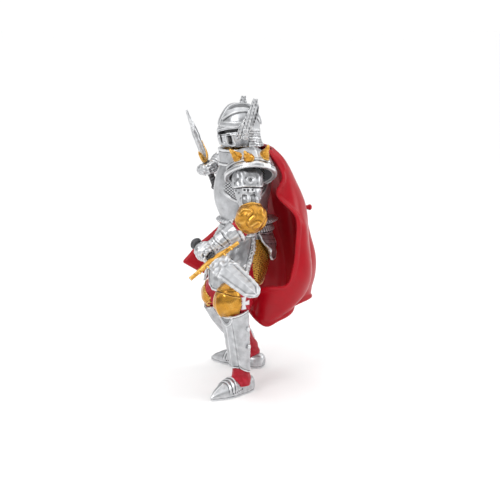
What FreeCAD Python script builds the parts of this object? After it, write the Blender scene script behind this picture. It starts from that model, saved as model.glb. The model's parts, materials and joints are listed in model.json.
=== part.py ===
import FreeCAD, Part
import math
import os

# A painted toy knight, about 96 mm tall, standing on its own two soles.
# Frame while modelling: +Z up, the knight faces -Y, its left hand is towards +X, and the floor is Z 0.
# At the end everything moves sideways, so that the origin is the centre of the figure's box on the floor.

V = FreeCAD.Vector

# ---------------------------------------------------------------- driving dimensions, mm
PLATE = 0.8                 # wall of an armour plate
CAPE_WALL = 0.9             # wall of the moulded cape
RUNNING_FIT = 0.06          # radial clearance of a peg in its socket
MOTION_GAP = 0.35           # clearance between pieces that swing past each other

SHOULDER = V(12.0, -3.6, 70.8)      # left shoulder pivot
TORSO_TWIST = V(0, 3.8, 0)          # how far back the right shoulder lies from the left one's mirror image
SHOULDER_PEG_RADIUS = 2.0
SHOULDER_PEG_LENGTH = 6.0
NECK = V(0, -2.2, 76.0)             # where the head turns, at the foot of its peg
NECK_PEG_RADIUS = 2.2
LIP_WIDTH = 1.1                     # rolled lip of a pauldron
LIP_HEIGHT = 0.4

PAULDRON_CENTRE = V(11.6, -2.7, 72.8)
PAULDRON_RADII = V(8.0, 7.7, 7.9)
SPIKE_LENGTH = 4.0
SPIKE_FOOT = 0.7                    # how far a spike's foot goes into the pauldron
SPIKE_RADIUS = 1.55
SLIVER = 0.9                        # volume below which a scrap left by a cut is dropped, mm3

LEFT_ELBOW = V(19.6, -4.9, 59.4)
RIGHT_ELBOW = V(-28.4, -0.4, 71.0)

GRIP_RADIUS = 1.1
LEFT_GUARD = V(21.9, -16.9, 47.5)           # where the left sword's blade leaves its guard
LEFT_BLADE_AXIS = V(0.895, 0.336, -0.29)
LEFT_GUARD_AXIS = V(0.0, 0.93, 0.5)
LEFT_GUARD_REACH = (9.9, 9.2)               # from the grip to the forward end and to the rear end
LEFT_GUARD_BOW = 0.5                        # how far its ends bend towards the blade
LEFT_BLADE_LENGTH = 23.4
LEFT_GRIP_LENGTH = 10.6
RIGHT_GUARD = V(-21.0, -9.9, 72.9)
RIGHT_BLADE_AXIS = V(-0.075, -0.338, 0.938)
RIGHT_GUARD_AXIS = V(0.9, -0.44, -0.08)
RIGHT_BLADE_LENGTH = 18.6
RIGHT_GRIP_LENGTH = 9.4
LEFT_FIST_LENGTH = 4.4
RIGHT_FIST_LENGTH = 3.4

COLLAR_FOOT = 76.8          # where the mail collar stands on the cuirass
WING_FLARE = 0.04           # how much a wing leans outwards for each millimetre that it rises
CROWN = 93.4                # top of the helmet, under the comb


# ---------------------------------------------------------------- helpers
def unit(vector):
    """The same direction, one millimetre long."""
    return V(vector).normalize()


def ring(centre, normal, side, half_width, half_depth, corner=2.0, count=16):
    """A closed smooth loop square to normal; corner 2 is an ellipse and a larger one is boxier."""
    along = unit(normal)
    across = unit(side - along * along.dot(side))
    other = along.cross(across)
    points = []
    for step in range(count):
        angle = 2 * math.pi * step / count
        c, s = math.cos(angle), math.sin(angle)
        wide = math.copysign(abs(c) ** (2 / corner), c) * half_width
        deep = math.copysign(abs(s) ** (2 / corner), s) * half_depth
        points.append(centre + across * wide + other * deep)
    curve = Part.BSplineCurve()
    curve.interpolate(Points=points, PeriodicFlag=True)
    return Part.Wire([curve.toShape()])


def limb(stations, side, corner=2.0, grow=0.0):
    """A solid through stations of (x, y, z, half width, half depth), each square to the path."""
    points = [V(*station[:3]) for station in stations]
    last = len(points) - 1
    rings = []
    for k, station in enumerate(stations):
        heading = points[min(k + 1, last)] - points[max(k - 1, 0)]
        rings.append(ring(points[k], heading, side, station[3] + grow, station[4] + grow, corner))
    return Part.makeLoft(rings, True, False)


def stack(levels, corner=2.0, grow=0.0):
    """A solid through level loops of (z, x, half width, front y, back y)."""
    rings = []
    for z, x, half_width, front, back in levels:
        centre = V(x, (front + back) / 2, z)
        rings.append(ring(centre, V(0, 0, 1), V(1, 0, 0), half_width + grow,
                          (back - front) / 2 + grow, corner))
    return Part.makeLoft(rings, True, False)


def dome(centre, radii, axis, count=9):
    """An ellipsoid whose third radius lies along axis, lofted through rings."""
    rings = []
    side = V(0, 0, 1) if abs(axis.z) < 0.9 else V(1, 0, 0)
    for k in range(count):
        turn = math.pi * (k / (count - 1) - 0.5) * 0.985
        rings.append(ring(centre + axis * (radii.z * math.sin(turn)), axis, side,
                          radii.x * math.cos(turn), radii.y * math.cos(turn)))
    return Part.makeLoft(rings, True, False)


def beyond(point, normal, size=200.0):
    """A block that fills the space on the side of a plane that normal points to."""
    block = Part.makeBox(2 * size, 2 * size, size, V(-size, -size, 0))
    block.Placement = FreeCAD.Placement(point, FreeCAD.Rotation(V(0, 0, 1), normal))
    return block


def rod(start, end, radius):
    """A round bar from start to end."""
    return Part.makeCylinder(radius, (end - start).Length, start, end - start)


def spacing(lines):
    """Parameters for lines of points, which follow the mean distance between neighbours."""
    parameters = [0.0]
    for k in range(1, len(lines[0])):
        parameters.append(parameters[-1] + sum((line[k] - line[k - 1]).Length for line in lines) / len(lines))
    return parameters


def curve_through(points, parameters):
    """A smooth curve that passes each point at its parameter."""
    curve = Part.BSplineCurve()
    curve.interpolate(Points=list(points), Parameters=parameters)
    return curve


def surface_through(rows):
    """A smooth surface through a grid of points, which doesn't swing out between them."""
    across, down = spacing(rows), spacing(list(zip(*rows)))
    row_curves = [curve_through(row, across) for row in rows]
    columns = [curve_through(poles, down) for poles in zip(*[curve.getPoles() for curve in row_curves])]
    poles = [list(line) for line in zip(*[curve.getPoles() for curve in columns])]
    first, second = columns[0], row_curves[0]
    surface = Part.BSplineSurface()
    surface.buildFromPolesMultsKnots(poles, first.getMultiplicities(), second.getMultiplicities(),
                                     first.getKnots(), second.getKnots(), False, False,
                                     first.Degree, second.Degree)
    return surface


def borders(surface):
    """The four border curves of a surface, all running the same way as its grid."""
    u_low, u_high, v_low, v_high = surface.bounds()
    return [surface.uIso(u_low), surface.uIso(u_high), surface.vIso(v_low), surface.vIso(v_high)]


def skin(rows, wall):
    """A closed plate; its outer face passes through a grid of points, and its wall is even."""
    inner_rows = []
    last_row, last_column = len(rows) - 1, len(rows[0]) - 1
    for i, row in enumerate(rows):
        inner_row = []
        for j, point in enumerate(row):
            down = rows[min(i + 1, last_row)][j] - rows[max(i - 1, 0)][j]
            across = row[min(j + 1, last_column)] - row[max(j - 1, 0)]
            inner_row.append(point + unit(across.cross(down)) * wall)
        inner_rows.append(inner_row)
    outer, inner = surface_through(rows), surface_through(inner_rows)
    faces = [outer.toShape(), inner.toShape()]
    for outer_border, inner_border in zip(borders(outer), borders(inner)):
        faces.append(outer_border.makeRuledSurface(inner_border).toShape())
    sheet = Part.makeCompound(faces)
    sheet.sewShape()
    solid = Part.makeSolid(Part.Shell(sheet.Faces))
    if solid.Volume < 0:
        solid.reverse()
    return solid


def mirrored(shape):
    """The same piece on the knight's other side."""
    return shape.mirror(V(0, 0, 0), V(1, 0, 0))


def main_solid(shape):
    """The largest solid of a shape, without slivers that a cut leaves."""
    return max(shape.Solids, key=lambda solid: solid.Volume)


def fitted(pieces, groups=()):
    """Trim each piece by the ones before it, so that neighbours meet face to face."""
    done = {}
    for name, shape in pieces.items():
        for other in done.values():
            if shape.BoundBox.intersect(other.BoundBox) and shape.distToShape(other)[0] < 1e-6:
                shape = shape.cut(other)
        if name in groups:
            shape = Part.makeCompound([solid for solid in shape.Solids if solid.Volume > SLIVER])
        else:
            shape = main_solid(shape)
        done[name] = shape
    return done


# ---------------------------------------------------------------- legs
LEFT_CALF = [(15.0, -9.0, 29.0, 4.2, 4.4), (14.6, -8.2, 26.0, 3.9, 4.2), (14.1, -7.5, 20.5, 3.5, 3.8),
             (13.7, -6.9, 13.8, 2.9, 3.2), (13.5, -6.6, 9.5, 2.5, 2.7)]
RIGHT_CALF = [(-12.2, -8.0, 26.0, 4.6, 4.9), (-12.5, -5.6, 22.0, 4.8, 5.0), (-12.9, -2.0, 16.0, 4.0, 4.2),
              (-13.2, 1.2, 11.5, 3.2, 3.4), (-13.4, 3.0, 8.5, 2.8, 3.0)]


def calf(stations, ankle):
    """The cloth stocking of the lower leg, with its ankle going down into the shoe."""
    shin = limb(stations, V(1, 0.6, 0))
    foot = limb(ankle, V(1, 0.6, 0))
    return shin.fuse(foot)


def greave(stations, facing, trim_low):
    """The shin plate: a second skin over the front of the calf, pointed at its foot."""
    plate = limb(stations, V(1, 0.6, 0), grow=PLATE)
    knee, foot = V(*stations[0][:3]), V(*stations[-1][:3])
    middle = (knee + foot) * 0.5
    leaning = unit(foot - knee)
    front = unit(facing - leaning * leaning.dot(facing))
    plate = plate.cut(beyond(middle - front * 1.6, front * -1))
    return plate.cut(beyond(trim_low, leaning + front * 0.45))


def knee_cop(centre, facing, radii):
    """The gold knee: a domed cup, open at its back."""
    cup = dome(centre, radii, facing)
    return cup.cut(beyond(centre - facing * 2.4, facing * -1))


def clasps(stations, side, levels):
    """Small buckles on the edge of a greave."""
    buckles = []
    for level in levels:
        low, high = V(*stations[level][:3]), V(*stations[level + 1][:3])
        centre = (low + high) * 0.5 + side * (stations[level][3] + 0.9)
        buckles.append(dome(centre, V(0.9, 0.6, 0.9), V(0, 0, 1)))
    return Part.makeCompound(buckles)


def sabaton(heel, toe):
    """A pointed plate shoe with a flat sole."""
    ahead = unit(toe - heel)
    length = (toe - heel).Length
    profile = [(0.0, 1.6, 3.4), (0.10, 3.0, 5.0), (0.27, 3.4, 5.4), (0.44, 3.5, 5.9), (0.62, 3.4, 5.0),
               (0.79, 2.5, 3.6), (0.93, 1.2, 2.2), (1.0, 0.35, 1.2)]
    stations = []
    for share, half_width, height in profile:
        point = heel + ahead * (share * length)
        stations.append((point.x, point.y, 0.3 * height, half_width, 0.7 * height))
    shoe = limb(stations, ahead.cross(V(0, 0, 1)), corner=2.3)
    return shoe.cut(beyond(V(0, 0, 0), V(0, 0, -1)))


def legs():
    """Both legs, from the floor to the hips."""
    left_facing, right_facing = unit(V(0.55, -0.83, 0)), unit(V(-0.62, -0.78, 0.1))
    left_ankle = [(13.4, -6.6, 10.5, 2.6, 2.8), (13.3, -6.3, 7.0, 2.9, 3.1), (13.2, -6.4, 3.2, 3.2, 3.5)]
    right_ankle = [(-13.3, 2.6, 9.4, 2.7, 2.9), (-13.7, 4.2, 6.0, 2.9, 3.1), (-13.9, 4.3, 3.0, 3.1, 3.4)]
    left_thigh = limb([(5.6, -1.6, 46.0, 4.2, 4.4), (7.6, -3.2, 42.0, 4.6, 4.8),
                       (10.6, -5.4, 37.5, 4.6, 5.0), (13.8, -7.6, 32.4, 4.8, 5.1),
                       (15.0, -8.8, 28.6, 4.1, 4.4)], V(1, 0.6, 0))
    right_thigh = limb([(-5.4, -1.6, 45.0, 4.6, 4.8), (-7.4, -3.2, 40.0, 5.2, 5.4),
                        (-10.0, -6.0, 33.0, 5.2, 5.4), (-12.0, -7.8, 28.0, 4.9, 5.1),
                        (-12.2, -7.6, 25.0, 4.5, 4.8)], V(1, 0.6, 0))
    return {
        "left_sabaton": sabaton(V(9.3, -1.9, 0), V(18.2, -17.5, 0)),
        "right_sabaton": sabaton(V(-10.7, 8.0, 0), V(-24.3, -7.6, 0)),
        "left_thigh": left_thigh,
        "right_thigh": right_thigh,
        "left_calf": calf(LEFT_CALF, left_ankle),
        "right_calf": calf(RIGHT_CALF, right_ankle),
        "left_knee_cop": knee_cop(V(14.8, -10.0, 32.1), left_facing, V(5.7, 5.3, 6.2)),
        "right_knee_cop": knee_cop(V(-12.2, -7.9, 27.6), right_facing, V(5.7, 5.2, 6.0)),
        "left_greave": greave(LEFT_CALF, left_facing, V(13.4, -9.5, 9.6)),
        "right_greave": greave(RIGHT_CALF, right_facing, V(-15.4, 0.6, 8.2)),
        "left_greave_clasps": clasps(LEFT_CALF, unit(V(0.83, 0.55, 0)), (1, 2)),
        "right_greave_clasps": clasps(RIGHT_CALF, unit(V(-0.78, 0.62, 0)), (1, 2)),
    }


# ---------------------------------------------------------------- hips and torso
# height, half width, front y and back y of the cone that the hip plates lie on
HIP_CONE = [(53.0, 8.9, -10.4, 7.3), (48.0, 10.4, -11.2, 7.6), (43.0, 12.6, -12.4, 7.4),
            (38.0, 14.6, -13.4, 7.0), (33.0, 15.6, -14.2, 6.6)]


def hip_point(angle, z, out):
    """A point on the hip cone; angle 0 is the front and 90 the knight's left."""
    table = HIP_CONE
    k = 0
    while k < len(table) - 2 and z < table[k + 1][0]:
        k += 1
    share = (table[k][0] - z) / (table[k][0] - table[k + 1][0])
    half_width, front, back = [table[k][m] + share * (table[k + 1][m] - table[k][m]) for m in (1, 2, 3)]
    turn = math.radians(angle)
    return V((half_width + out) * math.sin(turn),
             (front + back) / 2 - ((back - front) / 2 + out) * math.cos(turn), z)


def tasset(start, end, top, bottom, out, lean=0.0, taper=0.18, rounding=0.35):
    """A hip plate between two angles, hanging from top; its foot stands out, tapers and leans."""
    rows = []
    for i in range(7):
        down = i / 6
        row = []
        for j in range(7):
            across = j / 6
            edge = abs(2 * across - 1)
            low = bottom + (top - bottom) * rounding * edge ** 3
            narrow = 1 - taper * down
            angle = (start + end) / 2 + lean * down + (end - start) * (across - 0.5) * narrow
            row.append(hip_point(angle, top + (low - top) * down, out * min(1.0, 0.15 + 1.4 * down)))
        rows.append(row)
    return skin(rows, PLATE)


def mail_skirt():
    """The flared mail skirt, hollow below the hips."""
    levels = [(50.2, 0, 8.6, -9.8, 6.6), (47.0, 0, 10.0, -10.4, 6.6), (43.0, 0, 11.9, -11.4, 6.2),
              (39.0, 0, 13.3, -12.2, 5.0), (36.0, 0, 14.0, -12.6, 3.6)]
    inside = [(z, x, w - PLATE, front + PLATE, back - PLATE) for z, x, w, front, back in levels]
    return stack(levels, corner=2.5).cut(stack(inside, corner=2.5))


def hip_block():
    """The solid seat of the figure, which the thighs grow from."""
    return stack([(51.0, 0, 7.3, -8.8, 5.7), (47.0, 0, 8.0, -9.2, 5.3), (43.0, 0, 8.6, -9.8, 4.4),
                  (39.5, 0, 8.0, -9.0, 2.6)])


def shoulder(side):
    """The shoulder pivot; side is 1 for the left and -1 for the right."""
    return V(SHOULDER) if side > 0 else V(-SHOULDER.x, SHOULDER.y, SHOULDER.z) + TORSO_TWIST


def cuirass():
    """The breast and back plate, with sockets for the neck and both shoulders."""
    body = stack([(50.0, 0, 8.2, -9.3, 6.9), (53.5, 0, 8.0, -9.3, 6.8), (57.0, 0, 8.3, -9.7, 6.2),
                  (60.5, 0, 9.1, -10.9, 5.9), (64.0, 0, 9.7, -11.6, 6.6), (68.0, 0, 9.9, -11.3, 7.0),
                  (72.5, 0, 9.2, -10.1, 6.3), (75.6, 0, 7.4, -8.6, 4.9), (COLLAR_FOOT, 0, 6.4, -7.6, 4.0)],
                 corner=2.2)
    socket = rod(NECK - V(0, 0, MOTION_GAP), NECK + V(0, 0, 10), NECK_PEG_RADIUS + RUNNING_FIT)
    for side in (1, -1):
        pivot = shoulder(side)
        inner = pivot - V(side * (SHOULDER_PEG_LENGTH + MOTION_GAP), 0, 0)
        body = body.cut(rod(inner, pivot + V(side * 3, 0, 0), SHOULDER_PEG_RADIUS + RUNNING_FIT))
    return body.cut(socket)


def waist_belt():
    """Three overlapping lames at the waist, wrapped round the foot of the cuirass."""
    levels = []
    for k in range(3):
        low, swell = 50.2 + 2.3 * k, 0.12 * k
        levels.append((low, 0, 9.0 - swell, -9.9 - swell, 8.7 - 2 * swell))
        levels.append((low + 1.8, 0, 8.8 - swell, -9.7 - swell, 8.0 - 2 * swell))
    return stack(levels)


def gorget():
    """The bevor plate that guards the chin, standing up from the breast plate."""
    outer = stack([(74.0, 0, 7.4, -9.9, 3.0), (76.5, 0, 6.6, -9.9, 2.0), (79.2, 0, 6.2, -10.0, 1.0)],
                  corner=2.2)
    inner = stack([(73.0, 0, 6.4, -8.9, 2.4), (76.5, 0, 5.7, -9.0, 1.2), (80.2, 0, 5.3, -9.1, 0.2)],
                  corner=2.2)
    plate = outer.cut(inner)
    return plate.cut(beyond(V(0, -4.2, 76.0), V(0, 1, 0.15)))


def mail_collar():
    """The mail round the neck, with the socket that the neck peg turns in."""
    collar = stack([(COLLAR_FOOT, 0, 6.0, -7.3, 3.7), (78.4, 0, 5.4, -6.9, 3.1), (79.5, 0, 4.6, -6.2, 2.4)])
    return collar.cut(rod(NECK, NECK + V(0, 0, 8), NECK_PEG_RADIUS + RUNNING_FIT))


def pauldron():
    """The left shoulder dome: a cup open downwards and outwards, with a rolled lip."""
    up = V(0, 0, 1)
    outer = dome(PAULDRON_CENTRE, PAULDRON_RADII, up)
    inner = dome(PAULDRON_CENTRE, PAULDRON_RADII - V(PLATE, PLATE, PLATE), up)
    lip_normal = unit(V(0.52, -0.06, -0.855))
    lip_point = PAULDRON_CENTRE + V(7.5, 0, 2.7)
    shell = outer.cut(inner).cut(beyond(lip_point, lip_normal))
    lip_ring = dome(PAULDRON_CENTRE, PAULDRON_RADII + V(LIP_HEIGHT, LIP_HEIGHT, LIP_HEIGHT), up)
    lip_ring = lip_ring.cut(inner).cut(beyond(lip_point, lip_normal))
    lip_ring = lip_ring.cut(beyond(lip_point - lip_normal * LIP_WIDTH, lip_normal * -1))
    cup = shell.fuse(lip_ring).cut(beyond(V(7.2, 0, 0), V(-1, 0, 0)))
    return cup


def pauldron_spikes():
    """Gold thorns on the crown of the left shoulder dome."""
    thorns = []
    for place, heading in ((V(3.0, -4.9, 5.2), V(0.28, -0.70, 0.65)),
                           (V(5.6, -2.0, 5.1), V(0.59, -0.50, 0.63)),
                           (V(4.4, 3.4, 5.6), V(0.46, 0.21, 0.86))):
        foot = PAULDRON_CENTRE + place - unit(heading) * SPIKE_FOOT
        thorns.append(Part.makeCone(SPIKE_RADIUS, 0.35, SPIKE_LENGTH + SPIKE_FOOT, foot, heading))
    return Part.makeCompound(thorns)


# ---------------------------------------------------------------- cape
# Each row runs from the left hem round the back to the right hem; rows go from the shoulders to the hem.
CAPE_ROWS = [
    [(10.2, 4.2, 79), (8.2, 5.6, 79.6), (5.5, 6.6, 79.8), (2.7, 6.9, 79.8), (0, 7, 79.8),
     (-2.7, 6.9, 79.8), (-5.5, 6.8, 79.8), (-8.2, 6.4, 79.6), (-9.4, 6, 79.3), (-10.2, 5.4, 79)],
    [(14.2, 7.6, 71.6), (12.8, 10, 72.4), (9, 11.6, 72.6), (4.5, 12, 71.4), (0, 12, 71.2),
     (-4.6, 11.8, 71.4), (-8.8, 11.6, 71.8), (-12, 11, 72.2), (-13.6, 10.2, 72.4), (-14.6, 9.2, 72.6)],
    [(13.2, 6.2, 65.4), (14.2, 11.2, 64.4), (10.6, 15.8, 63.8), (5.2, 16.9, 63.4), (0, 16.8, 63.4),
     (-6, 15.6, 63.4), (-11.2, 13.8, 63.8), (-15, 11, 64), (-16.6, 9.2, 64.4), (-17.4, 7.2, 65)],
    [(17.4, 11, 58.8), (16.4, 15, 56.6), (12.2, 18.2, 56), (6.2, 19.1, 56), (0, 19.2, 56),
     (-7.2, 18, 56), (-13.6, 14.6, 56), (-18.2, 8.8, 56.4), (-19.6, 5.8, 57), (-20.2, 2.8, 57.8)],
    [(18.2, 11, 50), (17.8, 15.2, 48.4), (13.6, 19.2, 48), (6.8, 20.8, 48), (0, 20.8, 48),
     (-8, 19.4, 48), (-15.6, 14.6, 48.4), (-20.2, 5.2, 49.4), (-21.4, 0.4, 50.4), (-22, -3, 51.4)],
    [(19.2, 10, 41.6), (19.2, 14.4, 40), (14.8, 19.6, 39.6), (7.4, 21.9, 39.8), (0, 21.8, 40),
     (-8.6, 20.2, 40.2), (-16.2, 13.6, 41.2), (-20.8, 1.6, 43.4), (-22, -4.8, 44.8), (-22.6, -8.6, 46.2)],
    [(18.6, 7.8, 36.4), (18.6, 11, 33.6), (15.2, 17, 33.4), (8.6, 20.8, 34.4), (1.2, 21.4, 35),
     (-7.8, 20.2, 35.2), (-16.1, 13.2, 36.2), (-20.6, 0.6, 39.2), (-22, -8, 41), (-22.8, -12.8, 43)],
    [(12.8, 0.8, 34), (16.4, 6.2, 27.8), (15, 12.2, 28.8), (9.6, 18.4, 31), (2.4, 20.8, 32.4),
     (-7.2, 20, 31.8), (-15.8, 12.3, 31), (-20.3, -0.4, 34.2), (-21.7, -10.2, 37), (-22.9, -15.6, 40)],
    [(9.2, -2.7, 27.4), (13.2, 1.8, 22.8), (13.8, 7.8, 24.6), (10.4, 15.4, 27.4), (3.8, 19.8, 28.6),
     (-6.4, 19.4, 27.4), (-15.6, 11.4, 26.2), (-20, -1.4, 30.2), (-21.4, -12, 34.2), (-23, -18.2, 37.4)],
]


def cape():
    """The moulded cape, one open sheet of even wall."""
    return skin([[V(*point) for point in row] for row in CAPE_ROWS], CAPE_WALL)


def cape_stud():
    """The small round stud on the back of the cape."""
    stem = rod(V(1.8, 17.4, 58.9), V(1.8, 20.6, 58.9), 0.75)
    return stem.fuse(dome(V(1.8, 20.4, 58.9), V(1.0, 1.0, 0.8), V(0, 1, 0)))


# ---------------------------------------------------------------- head
# height, x, half width, front y and back y of the helmet
HELMET = [(80.0, 0, 5.1, -8.7, 2.7), (82.0, 0, 5.8, -9.5, 3.1), (85.0, 0, 6.2, -9.7, 3.4),
          (88.0, 0, 6.1, -9.5, 3.3), (90.6, 0, 5.2, -8.3, 2.3), (92.4, 0, 3.5, -6.7, 0.6),
          (CROWN, 0, 1.4, -4.6, -1.8)]


def helmet_solid(grow=0.0):
    """The outer form of the helmet, grown evenly or shrunk."""
    levels = []
    for z, x, half_width, front, back in HELMET:
        lifted = z + (grow / 2 if z > 91 else 0)
        levels.append((lifted, x, half_width + grow, front - grow, back + grow))
    return stack(levels)


def head_core():
    """The dark head inside the helmet, and the peg that it turns on."""
    core = helmet_solid(-PLATE).cut(beyond(V(0, 0, CROWN - PLATE), V(0, 0, 1)))
    return core.fuse(rod(NECK, V(NECK.x, NECK.y, 81.0), NECK_PEG_RADIUS))


def helmet_skull():
    """The skull plate: crown, sides and back of the helmet."""
    shell = helmet_solid().cut(helmet_solid(-PLATE))
    face = Part.makeBox(16, 8.0, 8.2, V(-8, -12.4, 78.4))
    return shell.cut(face)


def visor():
    """The face plate, with a ridge down the middle, eye slits and a breath slot each side."""
    plate = helmet_solid(0.35).cut(helmet_solid(-PLATE))
    plate = plate.cut(beyond(V(0, 0, 86.5), V(0, 0.05, 1))).cut(beyond(V(0, -4.4, 0), V(0, 1, 0)))
    ridge = limb([(0, -9.0, 80.4, 0.9, 0.8), (0, -9.8, 83.4, 0.9, 0.8), (0, -9.7, 86.2, 0.9, 0.8)],
                 V(1, 0, 0))
    plate = plate.fuse(ridge)
    slit = Part.makeBox(6.4, 7.0, 1.0, V(0.9, -12.0, -0.5))
    slit.rotate(V(0, 0, 0), V(0, 1, 0), -14)
    slit.translate(V(0, 0, 84.0))
    breath = Part.makeBox(0.9, 4.2, 2.2, V(4.1, -10.2, 81.4))
    for opening in (slit, breath, mirrored(slit), mirrored(breath)):
        plate = plate.cut(opening)
    return plate


def comb():
    """The raised band that runs from the brow over the crown to the neck."""
    strip = Part.makeBox(2.6, 20, 12, V(-1.3, -11, 86.8))
    return helmet_solid(0.7).cut(helmet_solid(-PLATE)).common(strip)


def brow_band():
    """The raised band above the eyes."""
    return helmet_solid(0.6).cut(helmet_solid(-PLATE)).common(Part.makeBox(20, 8.6, 1.5, V(-10, -12, 86.6)))


def neck_guard():
    """The flared lames behind the neck."""
    lames = None
    for k, (low, high, out) in enumerate([(82.9, 85.6, 0.5), (81.2, 83.3, 1.0), (80.0, 81.6, 1.7)]):
        lame = stack([(low, 0, 5.7 + out * 0.4, -7.0, 3.1 + out),
                      (high, 0, 5.9 + out * 0.2, -7.0, 3.2 + out * 0.5)])
        lames = lame if lames is None else lames.fuse(lame)
    return lames.cut(beyond(V(0, -1.6, 0), V(0, -1, 0)))


def wing(side):
    """One of the helmet's feathered wings, swept up and back."""
    outline = [(-6.2, 83.8), (-5.3, 86.2), (-3.0, 90.2), (-1.2, 93.8), (-0.5, 95.6), (0.8, 95.5), (1.2, 92.6),
               (1.0, 90.0), (0.2, 88.6), (-0.5, 86.8), (-1.6, 85.4), (-2.8, 83.6), (-4.6, 82.8)]
    points = [V(6.3 + WING_FLARE * (z - 83.0), y, z) for y, z in outline]
    face = Part.Face(Part.makePolygon(points + points[:1]))
    plate = face.extrude(V(1.1, 0, -1.1 * WING_FLARE))
    return plate if side > 0 else mirrored(plate)


def wing_bosses():
    """The two round rivets at the root of each wing."""
    bosses = []
    for side in (1, -1):
        for z in (85.3, 83.3):
            start = V(side * (6.6 + WING_FLARE * (z - 83.0)), -3.4, z)
            bosses.append(rod(start, start + V(side * 1.5, 0, 0), 0.8))
    return Part.makeCompound(bosses)


# ---------------------------------------------------------------- arms
def fist(grip_centre, grip_axis, length, offset, wrist):
    """A closed hand round a grip, bored for it."""
    half = grip_axis * (length / 2)
    centre = grip_centre + offset
    stations = []
    for share, size in ((-1.0, 2.1), (-0.5, 2.8), (0.5, 2.8), (1.0, 2.1)):
        point = centre + half * share
        stations.append((point.x, point.y, point.z, size, size))
    hand = limb(stations, wrist - centre, corner=2.6)
    knuckles = limb([tuple(centre) + (2.3, 2.3), tuple(centre + (wrist - centre) * 0.5) + (2.2, 2.2),
                     tuple(wrist) + (2.1, 2.1)], grip_axis)
    bore = rod(grip_centre - half * 2.4, grip_centre + half * 2.4, GRIP_RADIUS + RUNNING_FIT)
    return hand.fuse(knuckles).cut(bore)


def shoulder_peg(side):
    """The peg at the top of an arm, which turns in the cuirass."""
    pivot = shoulder(side)
    return rod(pivot - V(side * SHOULDER_PEG_LENGTH, 0, 0), pivot + V(side * 1.2, 0, 0), SHOULDER_PEG_RADIUS)


def left_arm():
    """The left arm, hanging with its forearm forward, from the shoulder to the fist."""
    peg = shoulder_peg(1)
    upper = limb([(13.4, -4.2, 74.9, 1.0, 1.2), (13.6, -4.2, 74.4, 2.2, 2.9), (14.0, -4.3, 73.2, 3.0, 4.1),
                  (14.8, -4.4, 70.8, 3.3, 4.6), (15.9, -4.5, 67.6, 3.4, 4.5), (17.4, -4.6, 64.2, 3.2, 3.7),
                  (19.2, -4.8, 59.8, 3.0, 3.3)], V(1, 0, 0.4))
    grip_centre = LEFT_GUARD - LEFT_BLADE_AXIS * (LEFT_FIST_LENGTH / 2 + 3.0)
    wrist = V(17.1, -15.8, 51.0)
    sleeve = limb([(19.2, -5.0, 58.6, 3.2, 3.2), (18.2, -7.0, 57.0, 3.2, 3.2), (17.1, -9.0, 55.2, 2.9, 2.9)],
                  V(1, 0, 0))
    cuff = limb([(17.1, -7.9, 55.6, 3.9, 3.9), (17.0, -10.4, 54.2, 3.2, 3.2), (17.0, -13.2, 52.6, 2.6, 2.6),
                 (17.1, -15.8, 51.0, 2.3, 2.3)], V(1, 0, 0))
    cup = dome(LEFT_ELBOW + V(0.8, 0.2, 0.2), V(5.0, 5.2, 4.2), unit(V(1, 0.1, -0.1)))
    return fitted({
        "left_upper_arm": upper.fuse(peg),
        "left_sleeve": sleeve,
        "left_elbow_cop": cup,
        "left_gauntlet_cuff": cuff,
        "left_fist": fist(grip_centre, LEFT_BLADE_AXIS, LEFT_FIST_LENGTH, V(0, -0.5, 0.2), wrist),
    })


def right_arm():
    """The right arm, raised, with its forearm coming forward to hold the sword upright."""
    peg = shoulder_peg(-1)
    upper = limb([(-11.2, 0.2, 70.8, 1.2, 1.2), (-11.7, 0.2, 70.8, 2.9, 2.9), (-13.0, 0.2, 70.8, 3.7, 3.7),
                  (-16.0, 0.1, 70.8, 3.9, 3.9), (-20.0, 0.0, 70.9, 3.8, 3.8), (-24.0, -0.2, 71.0, 3.5, 3.5),
                  (-28.2, -0.4, 71.0, 3.1, 3.1)], V(0, 0, 1))
    grip_centre = RIGHT_GUARD - RIGHT_BLADE_AXIS * (RIGHT_FIST_LENGTH / 2 + 1.35)
    wrist = V(-22.9, -7.5, 70.2)
    sleeve = limb([(-28.2, -0.6, 71.0, 3.0, 3.0), (-27.4, -2.0, 70.9, 3.1, 3.1),
                   (-26.0, -3.9, 70.7, 2.8, 2.8)], V(0, 0, 1))
    cuff = limb([(-26.7, -3.0, 70.8, 3.9, 3.9), (-25.6, -4.4, 70.6, 3.4, 3.4), (-24.0, -6.1, 70.3, 2.7, 2.7),
                 (-22.9, -7.5, 70.2, 2.3, 2.3)], V(0, 0, 1))
    cup = dome(RIGHT_ELBOW + V(-0.4, 0.8, 0), V(4.8, 4.8, 4.2), unit(V(-0.7, 0.7, 0)))
    return fitted({
        "right_upper_arm": upper.fuse(peg),
        "right_sleeve": sleeve,
        "right_elbow_cop": cup,
        "right_gauntlet_cuff": cuff,
        "right_fist": fist(grip_centre, RIGHT_BLADE_AXIS, RIGHT_FIST_LENGTH, V(-0.7, -0.9, 0.0), wrist),
    })


# ---------------------------------------------------------------- swords
def blade(root, axis, flat, stations, thickness):
    """A blade of flattened diamond section; stations are (distance, half width)."""
    edge = unit(axis.cross(flat))
    loops = []
    for distance, half_width in stations:
        centre = root + axis * distance
        across, thick = flat * half_width, edge * (thickness / 2)
        corners = [centre + across, centre + thick, centre - across, centre - thick]
        loops.append(Part.makePolygon(corners + corners[:1]))
    return Part.makeLoft(loops, True, True)


def grip_and_pommel(root, axis, length, pommel_radius):
    """The black grip with its round pommel."""
    end = root - axis * length
    bar = rod(end, root, GRIP_RADIUS)
    knob = dome(end - axis * 0.3, V(pommel_radius, pommel_radius, pommel_radius * 0.75), axis)
    return bar.fuse(knob)


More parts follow.
